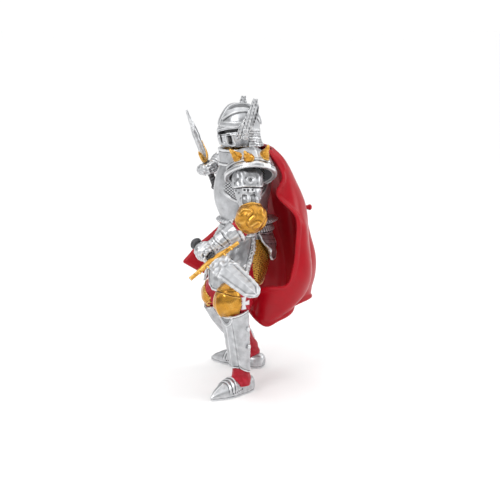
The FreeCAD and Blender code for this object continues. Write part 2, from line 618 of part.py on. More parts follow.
def left_sword():
    """The broad sword held low at the left hip."""
    axis = unit(LEFT_BLADE_AXIS)
    guard_line = unit(LEFT_GUARD_AXIS - axis * axis.dot(LEFT_GUARD_AXIS))
    length = LEFT_BLADE_LENGTH
    stations = [(0, 4.0), (length * 0.3, 3.9), (length * 0.62, 3.5), (length * 0.86, 3.0),
                (length * 0.95, 2.3), (length, 1.2)]
    ends = []
    for share, half_width, half_depth in ((-1.0, 0.7, 0.7), (-0.45, 0.7, 0.8), (0.0, 1.0, 0.95),
                                          (0.45, 0.7, 0.8), (1.0, 0.6, 0.6)):
        reach = LEFT_GUARD_REACH[share > 0] * share
        point = LEFT_GUARD + guard_line * reach + axis * (LEFT_GUARD_BOW * share ** 2)
        ends.append((point.x, point.y, point.z, half_width, half_depth))
    return fitted({
        "left_sword_guard": limb(ends, axis, corner=2.6),
        "left_sword_blade": blade(LEFT_GUARD, axis, guard_line, stations, 1.4),
        "left_sword_grip": grip_and_pommel(LEFT_GUARD, axis, LEFT_GRIP_LENGTH, 1.9),
    })


def right_sword():
    """The slender sword held upright in the raised right hand."""
    axis = unit(RIGHT_BLADE_AXIS)
    guard_line = unit(RIGHT_GUARD_AXIS - axis * axis.dot(RIGHT_GUARD_AXIS))
    length = RIGHT_BLADE_LENGTH
    stations = [(0, 1.7), (length * 0.58, 2.0), (length * 0.66, 1.3), (length, 0.15)]
    horns = []
    for share, half_width, half_depth in ((-1.0, 0.3, 0.3), (-0.75, 0.7, 0.7), (-0.35, 0.95, 0.85),
                                          (0.35, 0.95, 0.85), (0.75, 0.7, 0.7), (1.0, 0.3, 0.3)):
        rise = 6.4 if share < 0 else 4.0
        point = RIGHT_GUARD + guard_line * (4.2 * share) + axis * (rise * abs(share) ** 2.2)
        horns.append((point.x, point.y, point.z, half_width, half_depth))
    return fitted({
        "right_sword_guard": limb(horns, guard_line.cross(axis)),
        "right_sword_blade": blade(RIGHT_GUARD - axis * 0.2, axis, guard_line, stations, 1.1),
        "right_sword_grip": grip_and_pommel(RIGHT_GUARD, axis, RIGHT_GRIP_LENGTH, 1.5),
    })


# ---------------------------------------------------------------- assembly
def figure():
    """Everything that stays fixed to the torso and legs."""
    pieces = {
        "cuirass": cuirass(),
        "waist_belt": waist_belt(),
        "gorget": gorget(),
        "mail_collar": mail_collar(),
        "left_pauldron": pauldron(),
        "right_pauldron": mirrored(pauldron()).translated(TORSO_TWIST),
        "left_pauldron_spikes": pauldron_spikes(),
        "right_pauldron_spikes": mirrored(pauldron_spikes()).translated(TORSO_TWIST),
        "cape_stud": cape_stud(),
        "cape": cape(),
    }
    # angles round the hips, height of the top and of the foot, how far out, lean of the foot and taper
    plates = {"front": (5, 52, 50.8, 34.0, 1.1, 0, 0.04), "side": (40, 98, 52.6, 37.6, 2.0, -6, 0.30),
              "rear": (103, 152, 52.4, 43.4, 1.4, 12, 0.50)}
    for name, (start, end, top, bottom, out, lean, taper) in plates.items():
        plate = tasset(start, end, top, bottom, out, lean, taper)
        pieces["left_" + name + "_tasset"] = plate
        pieces["right_" + name + "_tasset"] = mirrored(plate)
    pieces["mail_skirt"] = mail_skirt()
    pieces["hip_block"] = hip_block()
    pieces.update(legs())
    groups = ("left_pauldron_spikes", "right_pauldron_spikes", "left_greave_clasps", "right_greave_clasps")
    return fitted(pieces, groups)


def head():
    """The helmeted head, which turns on its neck peg."""
    return fitted({
        "wing_bosses": wing_bosses(),
        "left_wing": wing(1),
        "right_wing": wing(-1),
        "comb": comb(),
        "brow_band": brow_band(),
        "visor": visor(),
        "neck_guard": neck_guard(),
        "head_core": head_core(),
        "helmet_skull": helmet_skull(),
    }, groups=("wing_bosses",))


def model():
    """Every piece by name, moved so that the origin is under the middle of the figure's box."""
    pieces = {}
    for part in (figure(), head(), left_arm(), right_arm(), left_sword(), right_sword()):
        pieces.update(part)
    box = Part.makeCompound(list(pieces.values())).optimalBoundingBox(False)
    shift = V(-(box.XMin + box.XMax) / 2, -(box.YMin + box.YMax) / 2, -box.ZMin)
    for shape in pieces.values():
        shape.translate(shift)
    return pieces, shift


def main():
    """Write one STEP file for each piece."""
    pieces, shift = model()
    os.makedirs("parts", exist_ok=True)
    for name, shape in pieces.items():
        shape.exportStep("parts/" + name + ".step")
    print("pieces", len(pieces), "shift", tuple(round(value, 4) for value in shift))


main()
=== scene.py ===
import json
import math

import bpy
import numpy as np
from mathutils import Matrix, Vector
from mathutils.kdtree import KDTree


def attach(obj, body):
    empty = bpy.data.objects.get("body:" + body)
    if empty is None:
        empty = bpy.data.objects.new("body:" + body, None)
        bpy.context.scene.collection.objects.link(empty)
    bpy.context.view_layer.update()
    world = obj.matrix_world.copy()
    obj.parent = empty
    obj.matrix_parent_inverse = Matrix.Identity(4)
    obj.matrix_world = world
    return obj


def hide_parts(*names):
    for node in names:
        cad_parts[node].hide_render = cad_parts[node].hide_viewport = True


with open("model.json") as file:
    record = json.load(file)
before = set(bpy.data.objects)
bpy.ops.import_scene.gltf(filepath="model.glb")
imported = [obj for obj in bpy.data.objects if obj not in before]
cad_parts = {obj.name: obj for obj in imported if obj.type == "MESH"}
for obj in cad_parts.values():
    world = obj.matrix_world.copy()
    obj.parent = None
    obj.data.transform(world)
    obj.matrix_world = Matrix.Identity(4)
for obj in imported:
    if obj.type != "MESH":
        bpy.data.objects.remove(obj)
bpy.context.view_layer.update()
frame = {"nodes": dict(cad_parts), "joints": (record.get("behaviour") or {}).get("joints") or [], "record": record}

# Lengths here are millimetres in the figure's own frame: the knight faces -Y, its left hand is towards
# +X, and the floor is Z 0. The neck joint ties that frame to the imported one.
NECK = np.array([0.0, -2.2, 76.0])
joints = {joint["name"]: joint for joint in frame["joints"]}
SHIFT = np.array(joints["head_turn"]["pos_m"]) * 1000 - NECK
body_of = {node: body for body, nodes in frame["record"]["behaviour"]["bodies"].items() for node in nodes}
slot_of = {entry["node"]: entry["material_slot"] for entry in frame["record"]["subparts"]}

FINEST, FINE, MEDIUM, COARSE = 0.11, 0.13, 0.18, 0.31      # voxel sizes, mm


# ---------------- mesh helpers
def to_row(points):
    """Figure millimetres to row metres."""
    return (np.asarray(points, float) + SHIFT) / 1000


def pivot(joint):
    """Where a joint is, in figure millimetres."""
    return np.array(joints[joint]["pos_m"]) * 1000 - SHIFT


def mesh_arrays(mesh):
    """Vertices in figure millimetres, and the triangles, of a mesh."""
    mesh.calc_loop_triangles()
    points = np.empty(len(mesh.vertices) * 3)
    mesh.vertices.foreach_get("co", points)
    triangles = np.empty(len(mesh.loop_triangles) * 3, int)
    mesh.loop_triangles.foreach_get("vertices", triangles)
    return points.reshape(-1, 3) * 1000 - SHIFT, triangles.reshape(-1, 3)


def cast(node):
    """The CAD solid of a node as a shape."""
    return mesh_arrays(frame["nodes"][node].data)


def middle(node):
    """The centre of a node's box."""
    points = cast(node)[0]
    return (points.min(axis=0) + points.max(axis=0)) / 2


def mesh_from(name, shapes):
    """One mesh that holds several shapes, in metres."""
    points, faces, start = [], [], 0
    for shape_points, shape_faces in shapes:
        points.append(to_row(shape_points))
        faces.extend([tuple(int(k) + start for k in face) for face in shape_faces])
        start += len(shape_points)
    mesh = bpy.data.meshes.new(name)
    mesh.from_pydata(np.concatenate(points).tolist(), [], faces)
    mesh.update()
    return mesh


def unit(vector):
    """The same direction with length one."""
    vector = np.asarray(vector, float)
    return vector / np.linalg.norm(vector)


def unit_rows(vectors):
    """The same directions, each with length one."""
    return vectors / np.maximum(np.linalg.norm(vectors, axis=1), 1e-6)[:, None]


def rings_to_faces(count, sides):
    """Quads between rings of points, with a cap at each end."""
    faces = [tuple(range(sides))[::-1], tuple((count - 1) * sides + k for k in range(sides))]
    for i in range(count - 1):
        for k in range(sides):
            after = (k + 1) % sides
            faces.append((i * sides + k, i * sides + after, (i + 1) * sides + after, (i + 1) * sides + k))
    return faces


def tube(path, radii, sides=12):
    """A closed round-ended bar along a path."""
    path = np.asarray(path, float)
    radii = np.broadcast_to(radii, len(path)).astype(float)
    heading = np.gradient(path, axis=0)
    heading /= np.linalg.norm(heading, axis=1)[:, None]
    caps = []
    for end, turns in ((0, (-80, -45)), (-1, (45, 80))):
        for turn in np.radians(turns):
            point = path[end] + heading[end] * radii[end] * math.sin(turn)
            caps.append((point, heading[end], radii[end] * math.cos(turn)))
    stations = caps[:2] + list(zip(path, heading, radii)) + caps[2:]
    side = np.array([0.31, 0.17, 0.93])      # hardly any bar runs this way
    points = []
    for centre, along, radius in stations:
        across = np.cross(along, side)
        if np.linalg.norm(across) < 0.2:
            across = np.cross(along, (1, 0, 0))
        across = unit(across)
        other = np.cross(along, across)
        for k in range(sides):
            turn = 2 * math.pi * k / sides
            points.append(centre + across * radius * math.cos(turn) + other * radius * math.sin(turn))
    return np.array(points), rings_to_faces(len(stations), sides)


def ball(centre, radius):
    """A small round knob."""
    centre = np.asarray(centre, float)
    half = np.array([0, 0, 0.01])
    return tube([centre - half, centre + half], [radius, radius])


def curve_through(points, steps=8):
    """A smooth line through a few points."""
    p = np.asarray(points, float)
    p = np.vstack([2 * p[0] - p[1], p, 2 * p[-1] - p[-2]])
    out = []
    for before, start, end, after in zip(p[:-3], p[1:-2], p[2:-1], p[3:]):
        slope = end - before
        square = 2 * before - 5 * start + 4 * end - after
        cube = 3 * start - before - 3 * end + after
        for t in np.linspace(0, 1, steps, endpoint=False):
            out.append(0.5 * (2 * start + slope * t + square * t ** 2 + cube * t ** 3))
    out.append(p[-2])
    return np.array(out)


def placed(name, data):
    """A new object in the scene."""
    thing = bpy.data.objects.new(name, data)
    bpy.context.scene.collection.objects.link(thing)
    return thing


def remeshed(name, shapes, voxel):
    """The union of shapes as one even mesh."""
    rough = placed(name + "_rough", mesh_from(name, shapes))
    modifier = rough.modifiers.new("union", "REMESH")
    modifier.mode = "VOXEL"
    modifier.voxel_size = voxel / 1000
    modifier.use_smooth_shade = True
    graph = bpy.context.evaluated_depsgraph_get()
    mesh = bpy.data.meshes.new_from_object(rough.evaluated_get(graph))
    bpy.data.objects.remove(rough)
    mesh.name = name
    return mesh


class Clay:
    """A mesh whose points are smoothed, pushed and painted, in figure millimetres."""

    def __init__(self, mesh):
        self.mesh = mesh
        count = len(mesh.vertices)
        self.points, self.triangles = mesh_arrays(mesh)
        edges = np.empty(len(mesh.edges) * 2, int)
        mesh.edges.foreach_get("vertices", edges)
        self.edges = edges.reshape(-1, 2)
        self.degree = np.maximum(np.bincount(self.edges.ravel(), minlength=count), 1)
        self.wash_and_shade = np.zeros(count)
        self.paint = np.zeros(count)

    def spread(self, values):
        """Each point's value averaged over its neighbours."""
        values = values if values.ndim > 1 else values[:, None]
        out = np.empty_like(values)
        a, b = self.edges.T
        for column in range(values.shape[1]):
            v = values[:, column]
            total = np.bincount(a, v[b], len(v)) + np.bincount(b, v[a], len(v))
            out[:, column] = total / self.degree
        return out if out.shape[1] > 1 else out[:, 0]

    def smooth(self, times):
        """Even the surface without shrinking it."""
        for _ in range(times):
            self.points += 0.6 * (self.spread(self.points) - self.points)
            self.points -= 0.61 * (self.spread(self.points) - self.points)

    def normals(self):
        """Outward directions at the points."""
        p, t = self.points, self.triangles
        face = np.cross(p[t[:, 1]] - p[t[:, 0]], p[t[:, 2]] - p[t[:, 0]])
        out = np.zeros_like(p)
        for k in range(3):
            for axis in range(3):
                out[:, axis] += np.bincount(t[:, k], face[:, axis], len(p))
        return out / np.maximum(np.linalg.norm(out, axis=1), 1e-12)[:, None]

    def facing(self, directions):
        """How squarely the surface faces given directions: 1 is towards them and -1 away."""
        return np.einsum("ij,ij->i", self.normals(), directions)

    def push(self, height):
        """Move the points outwards by height."""
        self.points += self.normals() * height[:, None]

    def darken(self, amount):
        """Add dark paint where amount is above zero: wash, and painted shade where a detail paints shade."""
        self.wash_and_shade = np.maximum(self.wash_and_shade, np.clip(amount, 0, 1))

    def engrave(self, mark, depth, wash_and_shade=0.8):
        """Cut a mark, which is 1 at its middle, into the surface and let wash fill it."""
        self.push(-depth * mark)
        self.darken(mark * wash_and_shade)

    def pool(self, gain):
        """Darken the hollows with wash and painted shade, and give high edges values below zero, which paint them
        lighter with dry paint and painted highlight.
        """
        hollow = self.facing(self.spread(self.points) - self.points)
        for _ in range(3):
            hollow = 0.5 * hollow + 0.5 * self.spread(hollow)
        a, b = self.edges.T
        step = np.linalg.norm(self.points[a] - self.points[b], axis=1).mean()
        # hollows get dark wash with painted shade; high edges go below zero for dry paint with painted highlight
        self.wash_and_shade = np.clip(self.wash_and_shade + gain * hollow / step * 4.0, -1, 1)

    def rim_distance(self, outward):
        """How far each point is from a plate's free edge; outward is the way the plate faces there."""
        facing = self.facing(outward)
        edge = np.flatnonzero(np.abs(facing) < 0.35)
        tree = KDTree(len(edge))
        for k in edge:
            tree.insert(self.points[k], int(k))
        tree.balance()
        distance = np.array([tree.find(point)[2] for point in self.points])
        return distance, facing

    def raise_rim(self, outward, width, height):
        """A raised border along the free edge of a plate, on its outer side."""
        distance, facing = self.rim_distance(outward)
        outer = step_up(facing, 0.2, 0.5)
        self.push(height * outer * step_down(distance, width * 0.8, width * 1.15))
        self.darken(0.42 * outer * line(distance - width * 1.2, 0.3))
        return distance, outer

    def store(self):
        """Write the points and the painted values back to the mesh."""
        self.mesh.vertices.foreach_set("co", to_row(self.points).ravel())
        # the wash layer holds dark wash and painted shade, and below zero dry paint with painted highlight; the
        # paint layer holds the emblem
        for name, values in (("wash_and_shade", self.wash_and_shade), ("paint", self.paint)):
            layer = self.mesh.attributes.new(name, "FLOAT", "POINT")
            layer.data.foreach_set("value", values.astype(np.float32))
        self.mesh.polygons.foreach_set("use_smooth", np.ones(len(self.mesh.polygons), bool))
        self.mesh.update()


def piece(node, extra=(), detail=None, voxel=FINE, smooth=3, pool=1.0):
    """A finished piece that stands for a CAD node: union, smoothing, detail, paint and material."""
    clay = Clay(remeshed(node + "_finished", [cast(node), *extra], voxel))
    clay.smooth(smooth)
    if detail:
        detail(clay)
    clay.pool(pool)
    clay.store()
    thing = placed(node + "_finished", clay.mesh)
    thing.data.materials.append(materials[slot_of[node]])
    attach(thing, body_of[node])
    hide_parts(node)
    return thing


# ---------------- pattern helpers
# In the details a push or a depth is in millimetres, and dark wash and painted shade run from 0 for none to 1 for
# full.
def step_up(values, low, high):
    """A smooth rise from 0 at low to 1 at high."""
    share = np.clip((values - low) / (high - low), 0, 1)
    return share * share * (3 - 2 * share)


def step_down(values, low, high):
    """A smooth fall from 1 at low to 0 at high."""
    return 1 - step_up(values, low, high)


def line(values, half_width):
    """A soft stripe that is 1 where values are 0 and 0 beyond half_width."""
    return np.clip(1 - np.abs(values) / half_width, 0, 1) ** 1.5


def knob(points, centre, radius):
    """A round button, 1 in its middle."""
    distance = np.linalg.norm(points - np.asarray(centre, float), axis=1)
    return np.sqrt(np.clip(1 - (distance / radius) ** 2, 0, 1))


def along_path(points, path):
    """The distance of each point from a line through path."""
    path = curve_through(path, 5)
    nearest = np.full(len(points), 1e9)
    for a, b in zip(path[:-1], path[1:]):
        run = b - a
        share = np.clip((points - a) @ run / (run @ run), 0, 1)
        nearest = np.minimum(nearest, np.linalg.norm(points - a - share[:, None] * run, axis=1))
    return nearest


def ripple(points, length, seed, count=9):
    """Smooth unevenness with a typical length, mostly between -1 and 1."""
    chance = np.random.RandomState(seed)
    total = np.zeros(len(points))
    for _ in range(count):
        wave = chance.normal(size=3)
        wave *= 2 * math.pi / length * chance.uniform(0.6, 1.4) / np.linalg.norm(wave)
        total += np.sin(points @ wave + chance.uniform(0, 2 * math.pi))
    return total / math.sqrt(count)


def hand_worked(clay, amount=0.05, length=2.2, seed=1):
    """The slight unevenness of a hand-cut mould."""
    clay.push(amount * ripple(clay.points, length, seed))


# ---------------- materials
def shader_node(tree, kind, **values):
    """A shader node with its inputs set by name."""
    node = tree.nodes.new(kind)
    for key, value in values.items():
        node.inputs[key].default_value = value
    return node


def blend_colours(tree, factor, first, second):
    """Mix two colours, each a socket or a colour, by a factor socket."""
    mix = tree.nodes.new("ShaderNodeMix")
    mix.data_type = "RGBA"
    tree.links.new(factor, mix.inputs["Factor"])
    for key, value in (("A", first), ("B", second)):
        if isinstance(value, tuple):
            mix.inputs[key].default_value = (*value, 1)
        else:
            tree.links.new(value, mix.inputs[key])
    return mix.outputs["Result"]


def scaled(tree, socket, low, high, to_low=0.0, to_high=1.0):
    """Map a socket's range to another range."""
    span = tree.nodes.new("ShaderNodeMapRange")
    for key, value in (("From Min", low), ("From Max", high), ("To Min", to_low), ("To Max", to_high)):
        span.inputs[key].default_value = value
    tree.links.new(socket, span.inputs["Value"])
    return span.outputs[0]


CLOUD_SCALE, FLECK_SCALE = 380.0, 2600.0      # noise waves per metre: patches and grains of paint
GRAIN_DEPTH = 0.00003                         # metres
CLOUD_RANGE = (0.3, 0.7)                      # the values that the noise mostly has
CLOUD_SHARE = 0.45                            # how patchy the wash and painted shade are
RAISED, HOLLOW = (-0.03, -0.25), (0.34, 1.0)      # values where lighter dry paint with painted highlight, and dark wash with painted shade, set in


def point_value(tree, name):
    """The socket of a value that is stored at a mesh's points."""
    node = tree.nodes.new("ShaderNodeAttribute")
    node.attribute_name = name
    return node.outputs["Fac"]


def painted(name, colour, wash_and_shade_colour, metallic, roughness, dry_and_highlight, dry_and_highlight_amount=0.35, grain=0.35, accent=None,
            coat=0.0, mottle=0.12, specular=0.5):
    """Paint on moulded plastic: dark wash with painted shade in the hollows, lighter raised edges that are partly
    dry paint and partly painted highlight, and an uneven grainy film.
    """
    material = bpy.data.materials.new(name)
    material.use_nodes = True
    tree = material.node_tree
    shader = tree.nodes["Principled BSDF"]
    wash_and_shade = point_value(tree, "wash_and_shade")
    place = tree.nodes.new("ShaderNodeTexCoord")
    cloud = shader_node(tree, "ShaderNodeTexNoise", Scale=CLOUD_SCALE, Detail=3.0, Roughness=0.6)
    fleck = shader_node(tree, "ShaderNodeTexNoise", Scale=FLECK_SCALE, Detail=2.0, Roughness=0.55)
    for texture in (cloud, fleck):
        tree.links.new(place.outputs["Object"], texture.inputs["Vector"])
    patchy = tree.nodes.new("ShaderNodeMath")
    patchy.operation = "MULTIPLY_ADD"
    tree.links.new(cloud.outputs["Fac"], patchy.inputs[0])
    patchy.inputs[1].default_value = CLOUD_SHARE
    tree.links.new(wash_and_shade, patchy.inputs[2])
    dark = tuple(value * (1 - 2 * mottle) for value in colour)
    body = blend_colours(tree, scaled(tree, cloud.outputs["Fac"], *CLOUD_RANGE), dark, colour)
    # lighter dry paint on raised edges, partly painted highlight
    body = blend_colours(tree, scaled(tree, wash_and_shade, *RAISED, 0.0, dry_and_highlight_amount), body, dry_and_highlight)
    # dark wash in the hollows, partly painted shade
    body = blend_colours(tree, scaled(tree, patchy.outputs[0], *HOLLOW), body, wash_and_shade_colour)
    if accent:
        body = blend_colours(tree, point_value(tree, "paint"), body, accent)
    tree.links.new(body, shader.inputs["Base Color"])
    tree.links.new(scaled(tree, cloud.outputs["Fac"], *CLOUD_RANGE, roughness - 0.06, roughness + 0.08),
                   shader.inputs["Roughness"])
    shader.inputs["Metallic"].default_value = metallic
    shader.inputs["Specular IOR Level"].default_value = specular
    shader.inputs["Coat Weight"].default_value = coat
    shader.inputs["Coat Roughness"].default_value = 0.2
    relief = shader_node(tree, "ShaderNodeBump", Strength=grain, Distance=GRAIN_DEPTH)
    tree.links.new(fleck.outputs["Fac"], relief.inputs["Height"])
    tree.links.new(relief.outputs["Normal"], shader.inputs["Normal"])
    return material


# each wash colour also paints shade in the hollows, and each dry colour also paints highlight on raised edges
PAINTS = {
    "silver_paint": dict(colour=(0.57, 0.58, 0.60), wash_and_shade_colour=(0.030, 0.029, 0.031), metallic=0.75,
        roughness=0.33, dry_and_highlight=(0.86, 0.87, 0.88), dry_and_highlight_amount=0.65, grain=0.4, mottle=0.18),
    "blade_paint": dict(colour=(0.54, 0.55, 0.57), wash_and_shade_colour=(0.10, 0.10, 0.11), metallic=0.65,
        roughness=0.42, dry_and_highlight=(0.82, 0.83, 0.84), dry_and_highlight_amount=0.6, grain=0.4),
    "gold_paint": dict(colour=(0.62, 0.29, 0.03), wash_and_shade_colour=(0.10, 0.035, 0.004), metallic=0.78,
        roughness=0.25, dry_and_highlight=(0.95, 0.60, 0.17), dry_and_highlight_amount=0.6, grain=0.25, coat=0.15),
    "red_plastic": dict(colour=(0.40, 0.001, 0.009), wash_and_shade_colour=(0.12, 0.0, 0.004), metallic=0.0,
        roughness=0.34, dry_and_highlight=(0.46, 0.008, 0.022), grain=0.12, mottle=0.05, specular=0.28),
    "red_cloth_paint": dict(colour=(0.42, 0.003, 0.016), wash_and_shade_colour=(0.09, 0.001, 0.005), metallic=0.0,
        roughness=0.40, dry_and_highlight=(0.58, 0.04, 0.07), dry_and_highlight_amount=0.5, grain=0.3, specular=0.3,
        accent=(0.78, 0.78, 0.80)),
    "dark_paint": dict(colour=(0.03, 0.028, 0.026), wash_and_shade_colour=(0.01, 0.01, 0.01), metallic=0.0,
        roughness=0.6, dry_and_highlight=(0.06, 0.06, 0.06)),
    "black_paint": dict(colour=(0.02, 0.02, 0.022), wash_and_shade_colour=(0.005, 0.005, 0.005), metallic=0.0,
        roughness=0.38, dry_and_highlight=(0.13, 0.13, 0.14), dry_and_highlight_amount=0.9),
}
materials = {name: painted(name, **values) for name, values in PAINTS.items()}


# ---------------- camera, lights and floor
AZIMUTH, ELEVATION = math.radians(75.0), math.radians(12.0)
CAMERA_DISTANCE = 350.0
LENS, SENSOR = 75.6, 36.0
AIM = np.array([-0.1, 0.33, 45.0])
TOWARDS_CAMERA = np.array([math.sin(AZIMUTH) * math.cos(ELEVATION), -math.cos(AZIMUTH) * math.cos(ELEVATION),
                           math.sin(ELEVATION)])
# the knight's left and slightly forward, level: the way most of the visible side faces
OUTWARD = unit((math.sin(AZIMUTH), -math.cos(AZIMUTH), 0))
BACKWARD = np.array([math.cos(AZIMUTH), math.sin(AZIMUTH), 0])
# how high a direction points (0 level, 1 straight up) and how bright the sky is there
SKY = ((0.0, 0.62), (0.06, 0.60), (0.14, 0.24), (0.50, 0.28), (0.72, 0.78), (1.0, 0.92))
SKY_STRENGTH = 1.75
FLOOR_HALF = 30000.0


def set_camera():
    """The camera, which sees the figure from its left and a little in front."""
    data = bpy.data.cameras.new("camera")
    data.sensor_width = SENSOR
    data.lens = LENS
    data.clip_start = 0.01
    camera = placed("camera", data)
    camera.location = to_row(AIM + TOWARDS_CAMERA * CAMERA_DISTANCE)
    camera.rotation_euler = Vector(-TOWARDS_CAMERA).to_track_quat("-Z", "Y").to_euler()
    bpy.context.scene.camera = camera


def add_lamp(name, place, size, power):
    """A square soft light that looks at the figure."""
    data = bpy.data.lights.new(name, "AREA")
    data.size = size / 1000
    data.energy = power
    lamp = placed(name, data)
    lamp.location = to_row(place)
    aim = Vector(to_row((0, 0, 45))) - lamp.location
    lamp.rotation_euler = aim.to_track_quat("-Z", "Y").to_euler()


def set_world():
    """A white tent: bright overhead and at the horizon, dimmer at the sides."""
    world = bpy.data.worlds.new("studio")
    world.use_nodes = True
    tree = world.node_tree
    place = tree.nodes.new("ShaderNodeTexCoord")
    split = tree.nodes.new("ShaderNodeSeparateXYZ")
    tree.links.new(place.outputs["Generated"], split.inputs[0])
    ramp = tree.nodes.new("ShaderNodeValToRGB")
    while len(ramp.color_ramp.elements) < len(SKY):
        ramp.color_ramp.elements.new(0.5)
    for element, (position, value) in zip(ramp.color_ramp.elements, SKY):
        element.position = position
        element.color = (value, value, value, 1)
    tree.links.new(split.outputs["Z"], ramp.inputs["Fac"])
    tree.links.new(ramp.outputs["Color"], tree.nodes["Background"].inputs["Color"])
    tree.nodes["Background"].inputs["Strength"].default_value = SKY_STRENGTH
    bpy.context.scene.world = world
    bpy.context.scene.view_settings.view_transform = "Standard"


def set_stage():
    """A pale floor and soft light from all round, strongest from above."""
    set_world()
    add_lamp("key_light", (260, -260, 330), size=160, power=0.55)
    add_lamp("rim_light", (60, 380, 240), size=200, power=0.45)
    corners = FLOOR_HALF * np.array([(-1, -1, 0), (1, -1, 0), (1, 1, 0), (-1, 1, 0)])
    floor = placed("floor", mesh_from("floor", [(corners, [(0, 1, 2, 3)])]))
    paper = bpy.data.materials.new("paper")
    paper.use_nodes = True
    shader = paper.node_tree.nodes["Principled BSDF"]
    shader.inputs["Base Color"].default_value = (0.93, 0.93, 0.93, 1)
    shader.inputs["Roughness"].default_value = 0.9
    shader.inputs["Specular IOR Level"].default_value = 0.1
    floor.data.materials.append(paper)


# ---------------- torso
PAULDRON_CENTRE = np.array([11.6, -2.7, 72.8])
PAULDRON_RADII = (8.0, 7.7, 7.9)
LIP_NORMAL = unit((0.52, -0.06, -0.855))
LIP_POINT = PAULDRON_CENTRE + (7.5, 0, 2.7)
RIGHT_SET_BACK = 3.8                            # how much further back the right pauldron is
ARM_HOLE, MAIL_EDGE, HOLE_RIDGE = 4.9, 7.7, 8.3      # radii round the shoulder pivots
SIDE_SEAM = 58.6                                # seams are placed by their height
BACK_SEAMS = (62.0, 66.5)
BELT_SEAMS = (52.25, 54.55)
BELT_RIBS = 26
CUIRASS_RING, COLLAR_RING, SKIRT_RING = 0.9, 1.0, 1.15      # pitch of the mail


def on_left_shoulder(points, side):
    """Points of either pauldron as if they were on the left one."""
    set_back = 0.0 if side > 0 else RIGHT_SET_BACK
    return points * (side, 1, 1) - (0, set_back, 0)


def from_axis(points, x=0.0, y=-2.5):
    """Level directions away from a vertical axis."""
    return unit_rows((points - (x, y, 0)) * (1, 1, 0))


def mail(points, pitch, around=(0.0, -2.5)):
    """Rows of small rings round a vertical axis: 1 in the holes."""
    away = points[:, :2] - around
    turn = np.arctan2(away[:, 0], -away[:, 1]) * np.linalg.norm(away, axis=1).mean()
    row = points[:, 2] / pitch
    shift = 0.5 * (np.floor(row) % 2)
    return np.clip(-np.cos(2 * math.pi * (turn / pitch + shift)) * np.cos(2 * math.pi * row), 0, 1) ** 1.2


def detail_cuirass(clay):
    """Mail at the arm holes, a ridge down the breast, seams at the back and faint hammering."""
    p = clay.points
    hand_worked(clay, 0.05, length=4.0)
    for side, name in ((1, "left_shoulder"), (-1, "right_shoulder")):
        reach = np.linalg.norm(p[:, 1:] - pivot(name)[1:], axis=1)
        outer = step_up(side * p[:, 0], 5.0, 7.0)
        clay.push(0.22 * outer * line(reach - HOLE_RIDGE, 0.7))
        band = step_up(reach, ARM_HOLE, ARM_HOLE + 0.4) * step_down(reach, MAIL_EDGE - 0.4, MAIL_EDGE)
        waves = np.cos(2 * math.pi * p[:, 1:] / CUIRASS_RING)
        rings = 0.5 + 0.5 * waves[:, 0] * waves[:, 1]
        clay.engrave(outer * band * rings, depth=0.2, wash_and_shade=0.75)
        clay.engrave(outer * line(reach - MAIL_EDGE, 0.3), depth=0.12, wash_and_shade=0.8)
    front = step_up(-p[:, 1], 4, 8)
    clay.push(0.25 * front * line(p[:, 0], 1.6) * step_up(p[:, 2], 52, 60))
    clay.engrave(line(p[:, 2] - SIDE_SEAM, 0.28) * (1 - front), depth=0.08, wash_and_shade=0.35)
    back = step_up(p[:, 1], 2.5, 4.5)
    clay.engrave(back * line(p[:, 0], 0.3), depth=0.12, wash_and_shade=0.5)
    for height in BACK_SEAMS:
        clay.engrave(back * line(p[:, 2] - height + 0.06 * p[:, 0] ** 2, 0.3), depth=0.12, wash_and_shade=0.5)


def detail_belt(clay):
    """Upright ribs, deepest at the back, and the seams between the lames."""
    p = clay.points
    turn = np.arctan2(p[:, 0], -p[:, 1] - 0.5)
    ribs = np.abs(np.sin(turn * BELT_RIBS + 0.35 * p[:, 2]))
    back = step_up(np.abs(turn), 1.2, 1.7)
    clay.engrave(step_down(ribs, 0.15, 0.75) * (0.25 + 0.75 * back), depth=0.26, wash_and_shade=0.75)
    for height in BELT_SEAMS:
        clay.engrave(line(p[:, 2] - height, 0.4), depth=0.18, wash_and_shade=0.9)


def detail_gorget(clay):
    """A turned edge with a dark line beside it, and a ridge down the front."""
    outer = clay.raise_rim(from_axis(clay.points), width=0.7, height=0.22)[1]
    hand_worked(clay, 0.04, length=3.0)
    ridge = line(clay.points[:, 0], 0.8) * step_up(-clay.points[:, 1], 6, 8)
    clay.push(0.3 * ridge * outer)


def detail_collar(clay):
    """Fine gold mail."""
    clay.engrave(mail(clay.points, COLLAR_RING, (0.0, -2.2)), depth=0.2, wash_and_shade=0.9)


def detail_pauldron(side):
    """A raised lip with two lines above it, a seam over the top, and painted shade inside the hollow."""
    def detail(clay):
        p = on_left_shoulder(clay.points, side)
        depth = (p - LIP_POINT) @ LIP_NORMAL
        facing = clay.facing(unit_rows(p - PAULDRON_CENTRE) * (side, 1, 1))
        outer = step_up(facing, 0.1, 0.5)
        clay.push(0.30 * outer * step_up(depth, -2.0, -1.5))
        clay.engrave(outer * line(depth + 2.15, 0.26), depth=0.12, wash_and_shade=0.75)
        clay.engrave(outer * line(depth + 3.1, 0.22), depth=0.10, wash_and_shade=0.55)
        seam = line(p[:, 1] - PAULDRON_CENTRE[1] - 0.8, 0.7)
        clay.push(0.2 * outer * seam * step_up(-depth, 2.6, 3.6))
        clay.push(0.10 * outer * ripple(p, 3.2, seed=4))
        # painted shade on the inside of the shell, darker deeper in
        hollow = step_up(-facing, 0.2, 0.6)
        clay.darken(0.16 * hollow)
        clay.darken(0.4 * hollow * step_up(-depth, 2.5, 6))
    return detail


